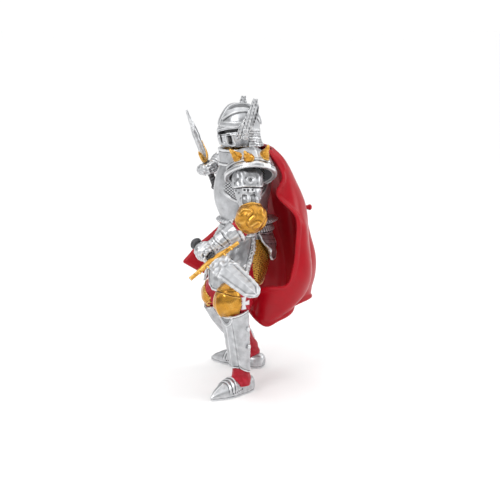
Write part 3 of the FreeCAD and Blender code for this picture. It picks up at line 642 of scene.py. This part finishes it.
def detail_spikes(side):
    """Thorns with broad feet and brown wash, most of it at their feet, where it is partly painted shade."""
    def detail(clay):
        p = on_left_shoulder(clay.points, side)
        height = np.linalg.norm((p - PAULDRON_CENTRE) / PAULDRON_RADII, axis=1) - 1
        # wash with painted shade at the feet, where the thorns meet the shell
        clay.darken(0.5 * step_down(height, 0.0, 0.22))
        clay.push(0.35 * step_down(height, 0.0, 0.3) + 0.06 * ripple(p, 1.6, seed=6))
        clay.darken(0.35 * step_up(ripple(p, 1.9, seed=8), 0.3, 1.4))
    return detail


# ---------------- cape
# the cape's free edges: down each side from the shoulders, and along the bottom from left to right
LEFT_HEM = [(10.2, 4.2, 79.0), (14.2, 7.6, 71.6), (13.2, 6.2, 65.4), (17.4, 11.0, 58.8), (18.2, 11.0, 50.0),
            (19.2, 10.0, 41.6), (18.6, 7.8, 36.4), (12.8, 0.8, 34.0), (9.2, -2.7, 27.4)]
RIGHT_HEM = [(-10.2, 5.4, 79.0), (-14.6, 9.2, 72.6), (-17.4, 7.2, 65.0), (-20.2, 2.8, 57.8),
             (-22.0, -3.0, 51.4), (-22.6, -8.6, 46.2), (-22.8, -12.8, 43.0), (-22.9, -15.6, 40.0),
             (-23.0, -18.2, 37.4)]
BOTTOM_HEM = [(9.2, -2.7, 27.4), (13.2, 1.8, 22.8), (13.8, 7.8, 24.6), (10.4, 15.4, 27.4), (3.8, 19.8, 28.6),
              (-6.4, 19.4, 27.4), (-15.6, 11.4, 26.2), (-20.0, -1.4, 30.2), (-21.4, -12.0, 34.2),
              (-23.0, -18.2, 37.4)]
HEM_RADIUS = 0.72
STUD_SHANK, STUD_RADIUS = [(1.8, 14.5, 58.9), (1.8, 18.0, 58.9)], 0.75
FOLD_DEPTH = 1.7
CAPE_TOP = 79.0


def detail_cape(clay):
    """Broad soft folds that run down the back, and a smooth moulded skin."""
    p = clay.points
    turn = np.arctan2(p[:, 0], p[:, 1] + 2.0)
    drop = step_up(CAPE_TOP - p[:, 2], 4, 34)
    broad = np.sin(5.2 * turn + 0.9 + 0.02 * p[:, 2])
    narrow = np.sin(9.1 * turn - 0.045 * p[:, 2] + 2.1)
    crease = (1 - np.abs(np.sin(3.4 * turn + 0.035 * p[:, 2] + 0.4))) ** 2
    fold = 0.6 * broad + 0.4 * narrow - 0.5 - 0.7 * crease
    p += from_axis(p, 0.0, -2.0) * (FOLD_DEPTH * drop * fold)[:, None]
    clay.smooth(3)
    clay.push(0.06 * ripple(p, 9.0, seed=3))


def make_cape():
    """The cape with a rolled hem round its free edges."""
    hem = [tube(curve_through(path), HEM_RADIUS) for path in (LEFT_HEM, RIGHT_HEM, BOTTOM_HEM)]
    piece("cape", hem, detail_cape, voxel=COARSE, smooth=5, pool=0.4)


# ---------------- hips
RIVETS = ((-1.8, -2.2), (0.4, -3.0), (1.2, 0.6), (-0.6, -0.6))      # y and z from a hip plate's middle
HOLE_RADIUS = 0.38
PEBBLE = 0.95


def detail_side_tasset(clay):
    """A dished plate with a pebbled border, and painted shade over the dish."""
    p = clay.points
    distance, outer = clay.raise_rim(from_axis(p), width=1.2, height=0.35)
    pebble = ripple(p, PEBBLE, seed=21)
    border = outer * step_down(distance, 1.0, 1.4)
    clay.push(0.16 * np.clip(pebble, 0, 2) * border)
    clay.darken(0.55 * border * step_up(-ripple(p, PEBBLE, seed=21), 0.2, 1.0))
    clay.push(-0.45 * outer * step_up(distance, 1.2, 3.6))
    # painted shade over the dish
    clay.darken(0.22 * outer * step_up(distance, 1.3, 2.4))
    clay.push(0.10 * outer * ripple(p, 2.6, seed=22))


def detail_tasset(node):
    """A front or rear hip plate: a thin border, sunk rivets and three lines across its top."""
    def detail(clay):
        p = clay.points
        outer = clay.raise_rim(from_axis(p), width=0.55, height=0.16)[1]
        hand_worked(clay, 0.10, length=2.4, seed=23)
        centre = middle(node)
        for rivet in RIVETS:
            reach = np.linalg.norm((p - centre)[:, 1:] - rivet, axis=1)
            clay.engrave(outer * np.clip(1 - reach / HOLE_RADIUS, 0, 1), depth=0.18, wash_and_shade=1.0)
        for k in range(3):
            y, z = (p - centre).T[1:]
            clay.engrave(0.6 * outer * line(z - 3.6 + 1.3 * k + 0.25 * y, 0.3), depth=0.12, wash_and_shade=0.5)
    return detail


def detail_skirt(clay):
    """Gold mail: rows of dark holes, and painted shade under the hip plates."""
    p = clay.points
    clay.engrave(mail(p, SKIRT_RING), depth=0.16, wash_and_shade=1.0)
    # painted shade, deepest high up under the hip plates
    clay.darken(0.45 * step_up(p[:, 2], 43.5, 50.5))


# ---------------- legs
LEG_FRONT = {"left": unit((0.55, -0.83, 0)), "right": unit((-0.62, -0.78, 0.1))}
EMBLEM_CENTRE = np.array([18.1, -6.6, 31.9])
CROSS_WIDTH, CROSS_HEIGHT, CROSS_ARM = 1.3, 1.45, 0.3      # half sizes
# across, above and ahead of a knee cop's middle
KNEE_CURL = ((0.2, 2.2, 3.0), (1.6, 3.2, 2.4), (3.0, 2.9, 1.6), (3.4, 1.9, 1.6), (2.6, 1.5, 2.4),
             (2.0, 2.2, 2.7))
FLAP_WIDTH, FLAP_DROP = 2.6, 4.6      # half width and height of the flap at a greave's top
COP_GATHER = 2.0        # how far the rear edge of a knee cop is drawn forward
FOOT_DROP = 2.0         # how much lower a greave hangs behind the ankle than in front of it
HEEL_AND_TOE = {"left": np.array([(9.3, -1.9), (18.2, -17.5)]),
                "right": np.array([(-10.7, 8.0), (-24.3, -7.6)])}
LAMES = (0.50, 0.57, 0.64)      # shares of the shoe's length


def detail_cloth(clay):
    """Painted cloth with folds across the leg."""
    p = clay.points
    folds = np.sin(p[:, 2] * 1.5 + 1.2 * ripple(p, 7.0, seed=31))
    clay.push(0.10 * folds + 0.05 * ripple(p, 1.8, seed=32))


def detail_cross(clay):
    """Folds, and a plain cross on the outside of the left thigh."""
    detail_cloth(clay)
    away = clay.points - EMBLEM_CENTRE
    across, up = np.abs(away @ BACKWARD), np.abs(away[:, 2])
    upright = np.maximum(across - CROSS_ARM, up - CROSS_HEIGHT)
    level = np.maximum(across - CROSS_WIDTH, up - CROSS_ARM)
    flare = 0.22 * np.maximum(across, up)
    inside = step_down(np.minimum(upright, level) - flare, -0.02, 0.14)
    clay.paint = inside * step_up(clay.normals() @ OUTWARD, 0.2, 0.4)
    clay.push(0.12 * clay.paint)


def detail_knee(side):
    """A fluted gold cop with a turned edge, two curls, a border over them and a painted dark reflection in its
    middle.
    """
    def detail(clay):
        p = clay.points
        centre = middle(side + "_knee_cop")
        front = LEG_FRONT[side]
        across = unit(np.cross(front, (0, 0, 1)))
        away = unit_rows(p - (centre - front * 2.0))
        outer = step_up(clay.facing(away), 0.1, 0.5)
        sideways, up = (p - centre) @ across, p[:, 2] - centre[2]
        clay.push(0.32 * outer * line(sideways, 1.1) * step_down(up, 1.5, 3.0))
        for turn in (-1, 1):
            curl = [centre + across * turn * a + (0, 0, b) + front * c for a, b, c in KNEE_CURL]
            reach = along_path(p, curl)
            clay.push(0.28 * line(reach, 0.8) * outer)
            clay.darken(0.5 * line(reach - 0.9, 0.35) * outer)
        clay.push(0.28 * outer * step_up(up, 3.4, 3.9))
        clay.engrave(outer * line(up - 3.3 + 0.05 * sideways ** 2, 0.3), depth=0.18, wash_and_shade=0.8)
        clay.raise_rim(away, width=0.5, height=0.14)
        clay.push(0.08 * outer * ripple(p, 3.0, seed=41))
        # a painted dark reflection in the middle of the cop
        clay.darken(0.55 * outer * np.exp(-((sideways + 0.6) ** 2 + (up - 0.6) ** 2) / 2.2))
        behind = step_up((centre - p) @ front, -1.5, 3.0)
        p += COP_GATHER * behind[:, None] * front
    return detail


def limb_line(points, low, high):
    """The middle of a leg plate, as x and y, at the height of each point."""
    ends = [points[np.abs(points[:, 2] - z) < 1.5].mean(axis=0) for z in (low + 1.5, high - 1.5)]
    return np.column_stack([np.interp(points[:, 2], (low, high), (ends[0][k], ends[1][k])) for k in (0, 1)])


def detail_greave(side):
    """A ridge down the shin, a U-shaped flap below the knee with painted shade in it, a turned edge, painted shade
    above the shoe and a low rear corner.
    """
    def detail(clay):
        p = clay.points
        front = LEG_FRONT[side]
        low, high = p[:, 2].min(), p[:, 2].max()
        limb = limb_line(p, low, high)
        away = p[:, :2] - limb
        sideways = away @ unit(np.cross((0, 0, 1), front))[:2]
        ahead = away @ front[:2]
        outer = step_up(np.einsum("ij,ij->i", clay.normals()[:, :2], away), 0.0, 1.0)
        ridge = line(sideways, 0.9) * step_up(ahead, 0, 1)
        clay.push(0.35 * outer * ridge * step_up(high - p[:, 2], 3, 6))
        clay.engrave(outer * line(sideways - 2.0, 0.4), depth=0.14, wash_and_shade=0.12)
        flap = (sideways / FLAP_WIDTH) ** 2 + ((high - p[:, 2]) / FLAP_DROP) ** 2
        clay.push(-0.24 * outer * step_down(flap, 0.75, 0.95))
        # painted shade in the sunk flap under the knee cop, and wash along its edge
        clay.darken(outer * (0.40 * step_down(flap, 0.7, 0.95) + 0.3 * line(flap - 0.95, 0.22)))
        clay.push(0.2 * outer * line(flap - 1.2, 0.25))
        foot = p[:, 2] - low
        # painted shade low on the front of the greave, above the shoe
        clay.darken(0.30 * outer * step_down(foot, 1.0, 5.5) * line(sideways - 0.4, 2.2))
        clay.raise_rim(from_axis(p, *limb.mean(axis=0)), width=0.45, height=0.16)
        clay.push(0.06 * ripple(p, 2.4, seed=51))
        p[:, 2] -= FOOT_DROP * step_up(-ahead, -2.0, 3.5) * step_down(foot, 0.0, 6.0)
    return detail


def detail_sabaton(side):
    """Three lames over the instep, a ridge to the toe, a welt round the sole and rows of holes."""
    heel, toe = HEEL_AND_TOE[side]
    ahead = unit(toe - heel)
    across = np.array([-ahead[1], ahead[0]])
    length = np.linalg.norm(toe - heel)

    def detail(clay):
        p = clay.points
        share = (p[:, :2] - heel) @ ahead / length
        sideways = (p[:, :2] - heel) @ across
        top = step_up(p[:, 2], 1.4, 2.6)
        for station in LAMES:
            bend = station + 0.004 * sideways ** 2
            clay.push(0.26 * top * line(share - bend, 0.028))
            clay.darken(0.7 * top * line(share - bend - 0.03, 0.016))
        for outside in (-1, 1):
            for k in range(6):
                hole = np.hypot((share - 0.40 - 0.045 * k) * length, (p[:, 2] - 2.3 + 0.13 * k) * 1.2)
                pit = (sideways * outside > 1) * np.clip(1 - hole / HOLE_RADIUS, 0, 1)
                clay.engrave(pit, depth=0.2, wash_and_shade=1.0)
        clay.engrave(line(p[:, 2] - 0.75, 0.22), depth=0.12, wash_and_shade=0.5)
        clay.push(0.18 * line(sideways, 0.8) * step_up(share, 0.6, 0.75) * top)
        clay.push(0.05 * ripple(p, 2.6, seed=61) * step_up(p[:, 2], 0.3, 0.8))
        p[:, 2] = np.maximum(p[:, 2], 0.0)
    return detail


# ---------------- head
HELMET_CENTRE = np.array([0, -3.2, 84.0])
COMB_CENTRE = (-3.5, 84.0)                      # y and z
COMB_BAND = (7.1, 8.6)                          # radii round that centre
EYE_SLIT, EYE_HEIGHT = (0.9, 6.9), 84.25        # how far out it runs, and its height at the nose
BREATH_PLACE, NOSE_CUT = (4.55, 82.5), (1.5, 82.9)      # x and z
CHEEK_RIVETS = ((6.0, -5.4, 83.2), (3.0, -8.9, 81.3))
NECK_LINE, NECK_STEP = 80.8, 0.85               # the neck guard's lowest line, and the lines' spacing
WING_ROOT, WING_TIP = np.array([-4.2, 83.4]), np.array([0.4, 95.6])      # y and z
FEATHER_WIDTH = 1.05


def detail_skull(clay):
    """A raised band that follows the comb, dark wash beside it and hammered sides."""
    p = clay.points
    outer = step_up(clay.facing(unit_rows(p - HELMET_CENTRE)), 0.1, 0.4) * step_up(p[:, 2], 87.0, 88.0)
    reach = np.linalg.norm(p[:, 1:] - COMB_CENTRE, axis=1)
    low, high = COMB_BAND
    clay.push(0.34 * outer * step_up(reach, low, low + 0.3) * step_down(reach, high - 0.3, high))
    clay.darken(0.8 * outer * line(reach - low + 0.15, 0.32))
    clay.darken(0.62 * outer * step_up(reach, 8.4, 8.8))
    hand_worked(clay, 0.05, length=3.4, seed=71)


def detail_visor(clay):
    """Rims and dark wash at the openings, a cut beside the nose and rivets on the cheeks."""
    p = clay.points
    outer = step_up(clay.facing(unit_rows((p - HELMET_CENTRE) * (1, 1, 0.3))), 0.1, 0.5)
    x = np.abs(p[:, 0])
    mirrored = np.column_stack([x, p[:, 1:]])
    for rivet in CHEEK_RIVETS:
        clay.push(0.3 * outer * knob(mirrored, rivet, 0.45))
    near, far = EYE_SLIT
    past_end = np.maximum(np.maximum(near - x, x - far), 0)
    slit = np.hypot(past_end, p[:, 2] - EYE_HEIGHT - 0.25 * (x - near))
    clay.push(0.2 * outer * line(slit - 1.25, 0.35))
    clay.darken(1.4 * line(slit, 1.0))
    breath = np.hypot((x - BREATH_PLACE[0]) * 1.3, np.maximum(np.abs(p[:, 2] - BREATH_PLACE[1]) - 1.0, 0))
    clay.push(0.22 * outer * line(breath - 1.1, 0.35))
    clay.darken(2.4 * line(breath, 1.0))
    nose = np.hypot(x - NOSE_CUT[0], np.maximum(np.abs(p[:, 2] - NOSE_CUT[1]) - 1.3, 0))
    clay.engrave(outer * line(nose, 0.8), depth=0.35, wash_and_shade=2.0)
    hand_worked(clay, 0.04, length=3.0, seed=72)


def detail_neck_guard(clay):
    """Engraved lines across the neck guard."""
    p = clay.points
    hand_worked(clay, 0.08, length=1.8, seed=73)
    for k in range(6):
        clay.engrave(line(p[:, 2] - NECK_LINE - NECK_STEP * k + 0.1 * p[:, 1], 0.26), depth=0.10, wash_and_shade=0.35)


def detail_wing(clay):
    """Long feathers with dark lines between them, and a darker rear edge."""
    p = clay.points
    along = unit(WING_TIP - WING_ROOT)
    across = np.array([along[1], -along[0]])
    height, behind = (p[:, 1:] - WING_ROOT) @ along, (p[:, 1:] - WING_ROOT) @ across
    flat = step_up(np.abs(clay.normals()[:, 0]), 0.5, 0.8)
    quill = np.abs(((behind + 0.10 * height) / FEATHER_WIDTH) % 1.0 - 0.5) * 2
    clay.engrave(flat * step_down(quill, 0.0, 0.5), depth=0.12, wash_and_shade=0.3)
    clay.darken(0.5 * step_up(behind, 0.9, 1.5) * step_up(height, 3, 6))
    clay.push(0.05 * ripple(p, 1.2, seed=74))


# ---------------- arms
ARM_AXIS = (15.0, -4.4)                         # x and y of the left upper arm
ARM_DRIFT = ((60, 75), (0.35, -0.6))            # heights, and where the arm's middle line is there
ARM_CAP_EDGE = 69.2
ARM_RIVET = np.array([18.2, -4.4, 71.3])
STRAP_HEIGHT, PANEL_HEIGHT = 68.2, 65.4
RIGHT_ARM_SEAMS = (-17.0, -21.0)
# which way each elbow cop faces, and what is sideways across it
ELBOW_WAYS = {"left": (OUTWARD, BACKWARD), "right": (unit((-0.7, 0.7, 0)), unit((0.7, 0.7, 0)))}
ELBOW_SCROLLS = (((0.7, 1.2), (-0.5, 0.1), (-0.9, -0.9), (-0.2, -1.6), (1.6, -0.7), (2.6, -1.1), (2.3, -2.0),
                  (1.1, -2.6)),
                 ((-3.7, 2.0), (-2.4, 3.1), (-0.8, 3.2), (0.0, 2.5), (-0.9, 1.9)))
CUFF_RIM_AND_WRIST = {"left": np.array([(17.1, -7.9, 55.6), (17.1, -15.8, 51.0)]),
                      "right": np.array([(-26.7, -3.0, 70.8), (-22.7, -7.3, 70.0)])}
CUFF_BANDS = (0.48, 0.76)      # shares of the way from rim to wrist
# the fingers' spacing, and how far along the grip the fingers and the thumb are from the fist's middle
FINGERS = {"left": (1.35, 0.9, 2.2), "right": (0.8, -0.35, 0.2)}
FINGER_RADIUS, KNUCKLE_RADIUS = 0.66, 0.8
THUMB_RADII = (0.6, 0.72, 0.75, 0.75, 0.75, 0.7)


def detail_upper_arm_left(clay):
    """A domed cap with a rivet, a strap of square plates below it, two sunk panels and painted shade at its top
    under the pauldron.
    """
    p = clay.points
    outer = step_up(clay.normals() @ OUTWARD, 0.05, 0.4)
    z = p[:, 2]
    across = p @ BACKWARD - np.interp(z, *ARM_DRIFT)
    over_edge = z - ARM_CAP_EDGE + 0.03 * across ** 2
    shown = step_up(np.linalg.norm(p[:, :2] - ARM_AXIS, axis=1), 1.9, 2.5)
    clay.push(0.42 * shown * step_up(over_edge, -0.12, 0.2) - 0.1 * shown)
    clay.darken(0.75 * shown * line(over_edge + 0.25, 0.35))
    reach = np.hypot((p - ARM_RIVET) @ BACKWARD, z - ARM_RIVET[2])
    clay.engrave(outer * step_down(reach, 0.35, 0.7) * (z > 69), depth=0.14, wash_and_shade=0.5)
    clay.push(0.12 * outer * line(reach - 1.0, 0.35) * (z > 69))
    # painted shade on the top of the arm, inside the pauldron
    clay.darken(0.36 * outer * step_up(z, 70.5, 73.0))
    clay.darken(0.55 * outer * step_up(ripple(p, 1.6, seed=88), 0.2, 1.3) * step_up(z, 62.0, 66.0))
    for k in (-1, 0, 1):
        square = np.maximum(np.abs(across - 1.25 * k), np.abs(z - STRAP_HEIGHT))
        clay.push(0.22 * outer * line(square - 0.5, 0.22))
        clay.darken(0.6 * outer * step_down(square, 0.2, 0.45))
    for k in (-1, 1):
        panel = np.hypot(np.maximum(np.abs(across - 1.35 * k) - 0.45, 0),
                         np.maximum(np.abs(z - PANEL_HEIGHT) - 1.1, 0))
        clay.engrave(outer * step_down(panel, 0.3, 0.55), depth=0.18, wash_and_shade=0.42)
    clay.push(0.08 * ripple(p, 1.7, seed=81) * shown)


def detail_upper_arm_right(clay):
    """Plain plates with two seams round the raised arm."""
    p = clay.points
    shown = step_up(-p[:, 0], 13.5, 15.0)
    for x in RIGHT_ARM_SEAMS:
        clay.engrave(line(p[:, 0] - x, 0.3) * shown, depth=0.14, wash_and_shade=0.6)
        clay.push(0.2 * shown * line(p[:, 0] - x - 0.7, 0.5))
    clay.push(0.06 * ripple(p, 2.2, seed=82) * shown)


def detail_elbow(side):
    """An elbow cop with a raised rim and embossed scrolls."""
    def detail(clay):
        p = clay.points
        centre = middle(side + "_elbow_cop")
        out, sideways = ELBOW_WAYS[side]
        away = unit_rows(p - (centre - out * 1.5))
        outer = step_up(clay.facing(away), 0.1, 0.5)
        facing = step_up(away @ out, -0.2, 0.3) * outer
        flat = np.column_stack([(p - centre) @ sideways, p[:, 2] - centre[2]])
        for scroll in ELBOW_SCROLLS:
            reach = along_path(flat, scroll)
            clay.push(0.34 * facing * line(reach, 0.7))
            clay.darken(0.5 * facing * line(reach - 0.8, 0.32))
        clay.push(-0.12 * facing)
        clay.raise_rim(away, width=0.75, height=0.22)
        clay.push(0.09 * facing * ripple(p, 2.4, seed=83))
    return detail


def detail_sleeve(clay):
    """Gathered cloth with folds round the arm."""
    p = clay.points
    folds = np.sin((p @ np.array([0.1, 0.7, 0.7])) * 3.4 + 1.1 * ripple(p, 4.0, seed=84))
    clay.push(0.2 * folds + 0.06 * ripple(p, 1.4, seed=85))


def detail_cuff(side):
    """A fluted, flared gauntlet cuff with a raised rim and two bands near the wrist."""
    rim, wrist = CUFF_RIM_AND_WRIST[side]
    axis = unit(wrist - rim)
    length = np.linalg.norm(wrist - rim)

    def detail(clay):
        p = clay.points
        t = (p - rim) @ axis
        away = unit_rows(p - rim - t[:, None] * axis)
        outer = step_up(clay.facing(away), 0.2, 0.5)
        clay.push(0.34 * outer * step_down(t, 0.7, 1.1))
        clay.darken(0.6 * outer * line(t - 1.25, 0.35))
        for station in CUFF_BANDS:
            slant = 0.8 * (away @ np.array([0.3, 0.2, 0.9]))
            bend = station * length + slant + 0.25 * ripple(p, 4.0, seed=89)
            clay.push(0.18 * outer * line(t - bend, 0.7))
            clay.engrave(outer * line(t - bend - 0.7, 0.32), depth=0.12, wash_and_shade=0.42)
        turn = np.arctan2(away @ unit(np.cross(axis, (0, 0, 1))), away[:, 2])
        flutes = np.abs(np.sin(turn * 5))
        clay.push(0.10 * outer * flutes * step_down(t, length * 0.35, length * 0.5))
        clay.push(0.07 * outer * ripple(p, 1.5, seed=86))
    return detail


def finger_shapes(side):
    """Four curled fingers and a thumb round a grip."""
    axis = unit(joints[side + "_grip_swivel"]["axis"])
    grip = pivot(side + "_grip_swivel")
    fist = cast(side + "_fist")[0]
    centre = grip + axis * ((fist - grip) @ axis).mean()
    to_wrist = middle(side + "_gauntlet_cuff") - centre
    palm = unit(to_wrist - axis * (to_wrist @ axis))
    other = np.cross(axis, palm)
    spacing, ahead, thumb_ahead = FINGERS[side]

    def curl(degrees):
        turn = math.radians(degrees)
        return palm * math.cos(turn) + other * math.sin(turn)

    shapes = []
    for k in range(4):
        root = centre + axis * (spacing * (k - 1.5) + ahead)
        radius = 2.27 if k in (1, 2) else 2.15
        path = [root + curl(degrees) * radius for degrees in np.linspace(70, 290, 9)]
        shapes.append(tube(path, FINGER_RADIUS))
        shapes.append(ball(path[1], KNUCKLE_RADIUS))
    thumb = [centre + curl(degrees) * 2.3 + axis * (thumb_ahead - 0.01 * degrees)
             for degrees in np.linspace(-80, 30, 6)]
    shapes.append(tube(thumb, THUMB_RADII))
    return shapes


def detail_fist(clay):
    """The uneven surface of small worn plates."""
    hand_worked(clay, 0.06, length=1.3, seed=87)


# ---------------- swords
# where the small prongs stand along a guard, and how long they are
PRONGS = {"left": ((-6.4, 1.1), (-3.3, 1.5), (3.3, 1.5), (6.2, 1.1)), "right": ()}
BLADE_STATIONS = (0, 0.3, 0.62, 0.86, 1)              # shares of the left blade's length
BLADE_HALF_WIDTHS = (4.0, 3.9, 3.5, 3.0, 1.2)         # at those stations
POMMEL_RING = 1.3                                     # from the end of the grip


def sword_axes(side):
    """Where a sword turns, its blade's direction and its guard's direction."""
    axis = unit(joints[side + "_grip_swivel"]["axis"])
    points = cast(side + "_sword_guard")[0]
    centred = points - points.mean(axis=0)
    bar = np.linalg.svd(centred, full_matrices=False)[2][0]
    bar = unit(bar - axis * (bar @ axis))
    return pivot(side + "_grip_swivel"), axis, bar if bar[2] > 0 else -bar


def detail_left_blade(clay):
    """A raised edge with a line inside it, and a lumpy foot with a ridge across it."""
    root, axis, bar = sword_axes("left")
    p = clay.points
    t, s = (p - root) @ axis, (p - root) @ bar
    flat = step_up(np.abs(clay.normals() @ np.cross(axis, bar)), 0.5, 0.8)
    inset = np.interp(t / t.max(), BLADE_STATIONS, BLADE_HALF_WIDTHS) - np.abs(s)
    clay.engrave(flat * line(inset - 1.25, 0.5) * step_up(t, 5.5, 7.5), depth=0.16, wash_and_shade=0.14)
    clay.push(0.12 * flat * line(inset - 0.55, 0.6) * step_up(t, 4.5, 6.5))
    foot = step_down(t, 5.0, 8.0)
    clay.push(0.26 * flat * foot * ripple(p, 1.9, seed=91))
    clay.push(0.3 * flat * line(t - 5.9 - 0.12 * s ** 2 * np.sign(t), 0.7))
    clay.push(0.07 * flat * ripple(p, 2.6, seed=92))


def detail_right_blade(clay):
    """A blade whose lower part is thick along its middle, with a fuller there."""
    root, axis, bar = sword_axes("right")
    p = clay.points
    t, s = (p - root) @ axis, (p - root) @ bar
    flat = step_up(np.abs(clay.normals() @ np.cross(axis, bar)), 0.4, 0.8)
    spine = step_down(t, 9.5, 17.5) * step_down(np.abs(s), 0.6, 2.2)
    clay.push(0.62 * flat * step_up(t, 0.5, 3.0) * spine)
    clay.engrave(flat * line(s, 0.4) * step_down(t, 11.5, 13.5), depth=0.2, wash_and_shade=0.6)
    clay.push(0.07 * flat * ripple(p, 2.0, seed=93))


def guard_prongs(side):
    """Small prongs along a guard, towards its blade."""
    root, axis, bar = sword_axes(side)
    shapes = []
    for place, length in PRONGS[side]:
        foot = root + bar * place
        shapes.append(tube([foot, foot + axis * length], [0.75, 0.35]))
    return shapes


def detail_guard(clay):
    """Uneven cast gold with dark patches."""
    hand_worked(clay, 0.06, length=2.4, seed=94)
    clay.darken(0.5 * step_up(ripple(clay.points, 2.0, seed=95), 0.6, 1.6))


def detail_grip(side):
    """A wrapped grip, and a ring round its pommel."""
    def detail(clay):
        root, axis = sword_axes(side)[:2]
        t = (clay.points - root) @ axis
        wrapped = step_up(t, t.min() + 3.2, t.min() + 3.8)
        clay.push(-0.10 * wrapped * (0.5 + 0.5 * np.cos(t * 5.2)))
        clay.push(0.12 * line(t - t.min() - POMMEL_RING, 0.4))
    return detail


# ---------------- the whole figure
def make_torso():
    """Torso plates, cape and hip plates."""
    piece("cuirass", detail=detail_cuirass, voxel=MEDIUM)
    piece("waist_belt", detail=detail_belt)
    piece("gorget", detail=detail_gorget, voxel=MEDIUM)
    piece("mail_collar", detail=detail_collar)
    for side, name in ((1, "left"), (-1, "right")):
        piece(name + "_pauldron", detail=detail_pauldron(side))
        piece(name + "_pauldron_spikes", detail=detail_spikes(side))
        for kind in ("front", "side", "rear"):
            node = name + "_" + kind + "_tasset"
            piece(node, detail=detail_side_tasset if kind == "side" else detail_tasset(node))
    piece("cape_stud", [tube(STUD_SHANK, STUD_RADIUS)])
    make_cape()
    piece("mail_skirt", detail=detail_skirt, voxel=MEDIUM)
    piece("hip_block", voxel=MEDIUM)


def make_legs():
    """Both legs, from the thighs to the shoes."""
    for side in ("left", "right"):
        piece(side + "_thigh", detail=detail_cross if side == "left" else detail_cloth, voxel=MEDIUM)
        piece(side + "_calf", detail=detail_cloth, voxel=MEDIUM)
        piece(side + "_knee_cop", detail=detail_knee(side))
        piece(side + "_greave", detail=detail_greave(side))
        piece(side + "_greave_clasps")
        piece(side + "_sabaton", detail=detail_sabaton(side), voxel=MEDIUM)


def make_head():
    """The helmet with its visor and wings."""
    piece("head_core", voxel=MEDIUM)
    piece("helmet_skull", detail=detail_skull)
    piece("visor", detail=detail_visor)
    piece("comb")
    piece("brow_band")
    piece("neck_guard", detail=detail_neck_guard)
    for side in ("left", "right"):
        piece(side + "_wing", detail=detail_wing, voxel=FINEST)
    piece("wing_bosses")


def make_arms():
    """Both arms and the swords that they hold."""
    for side in ("left", "right"):
        upper = detail_upper_arm_left if side == "left" else detail_upper_arm_right
        piece(side + "_upper_arm", detail=upper)
        piece(side + "_sleeve", detail=detail_sleeve)
        piece(side + "_elbow_cop", detail=detail_elbow(side))
        piece(side + "_gauntlet_cuff", detail=detail_cuff(side))
        piece(side + "_fist", finger_shapes(side), detail_fist)
        blade = detail_left_blade if side == "left" else detail_right_blade
        piece(side + "_sword_blade", detail=blade)
        piece(side + "_sword_guard", guard_prongs(side), detail_guard)
        piece(side + "_sword_grip", detail=detail_grip(side))


set_camera()
set_stage()
make_torso()
make_legs()
make_head()
make_arms()
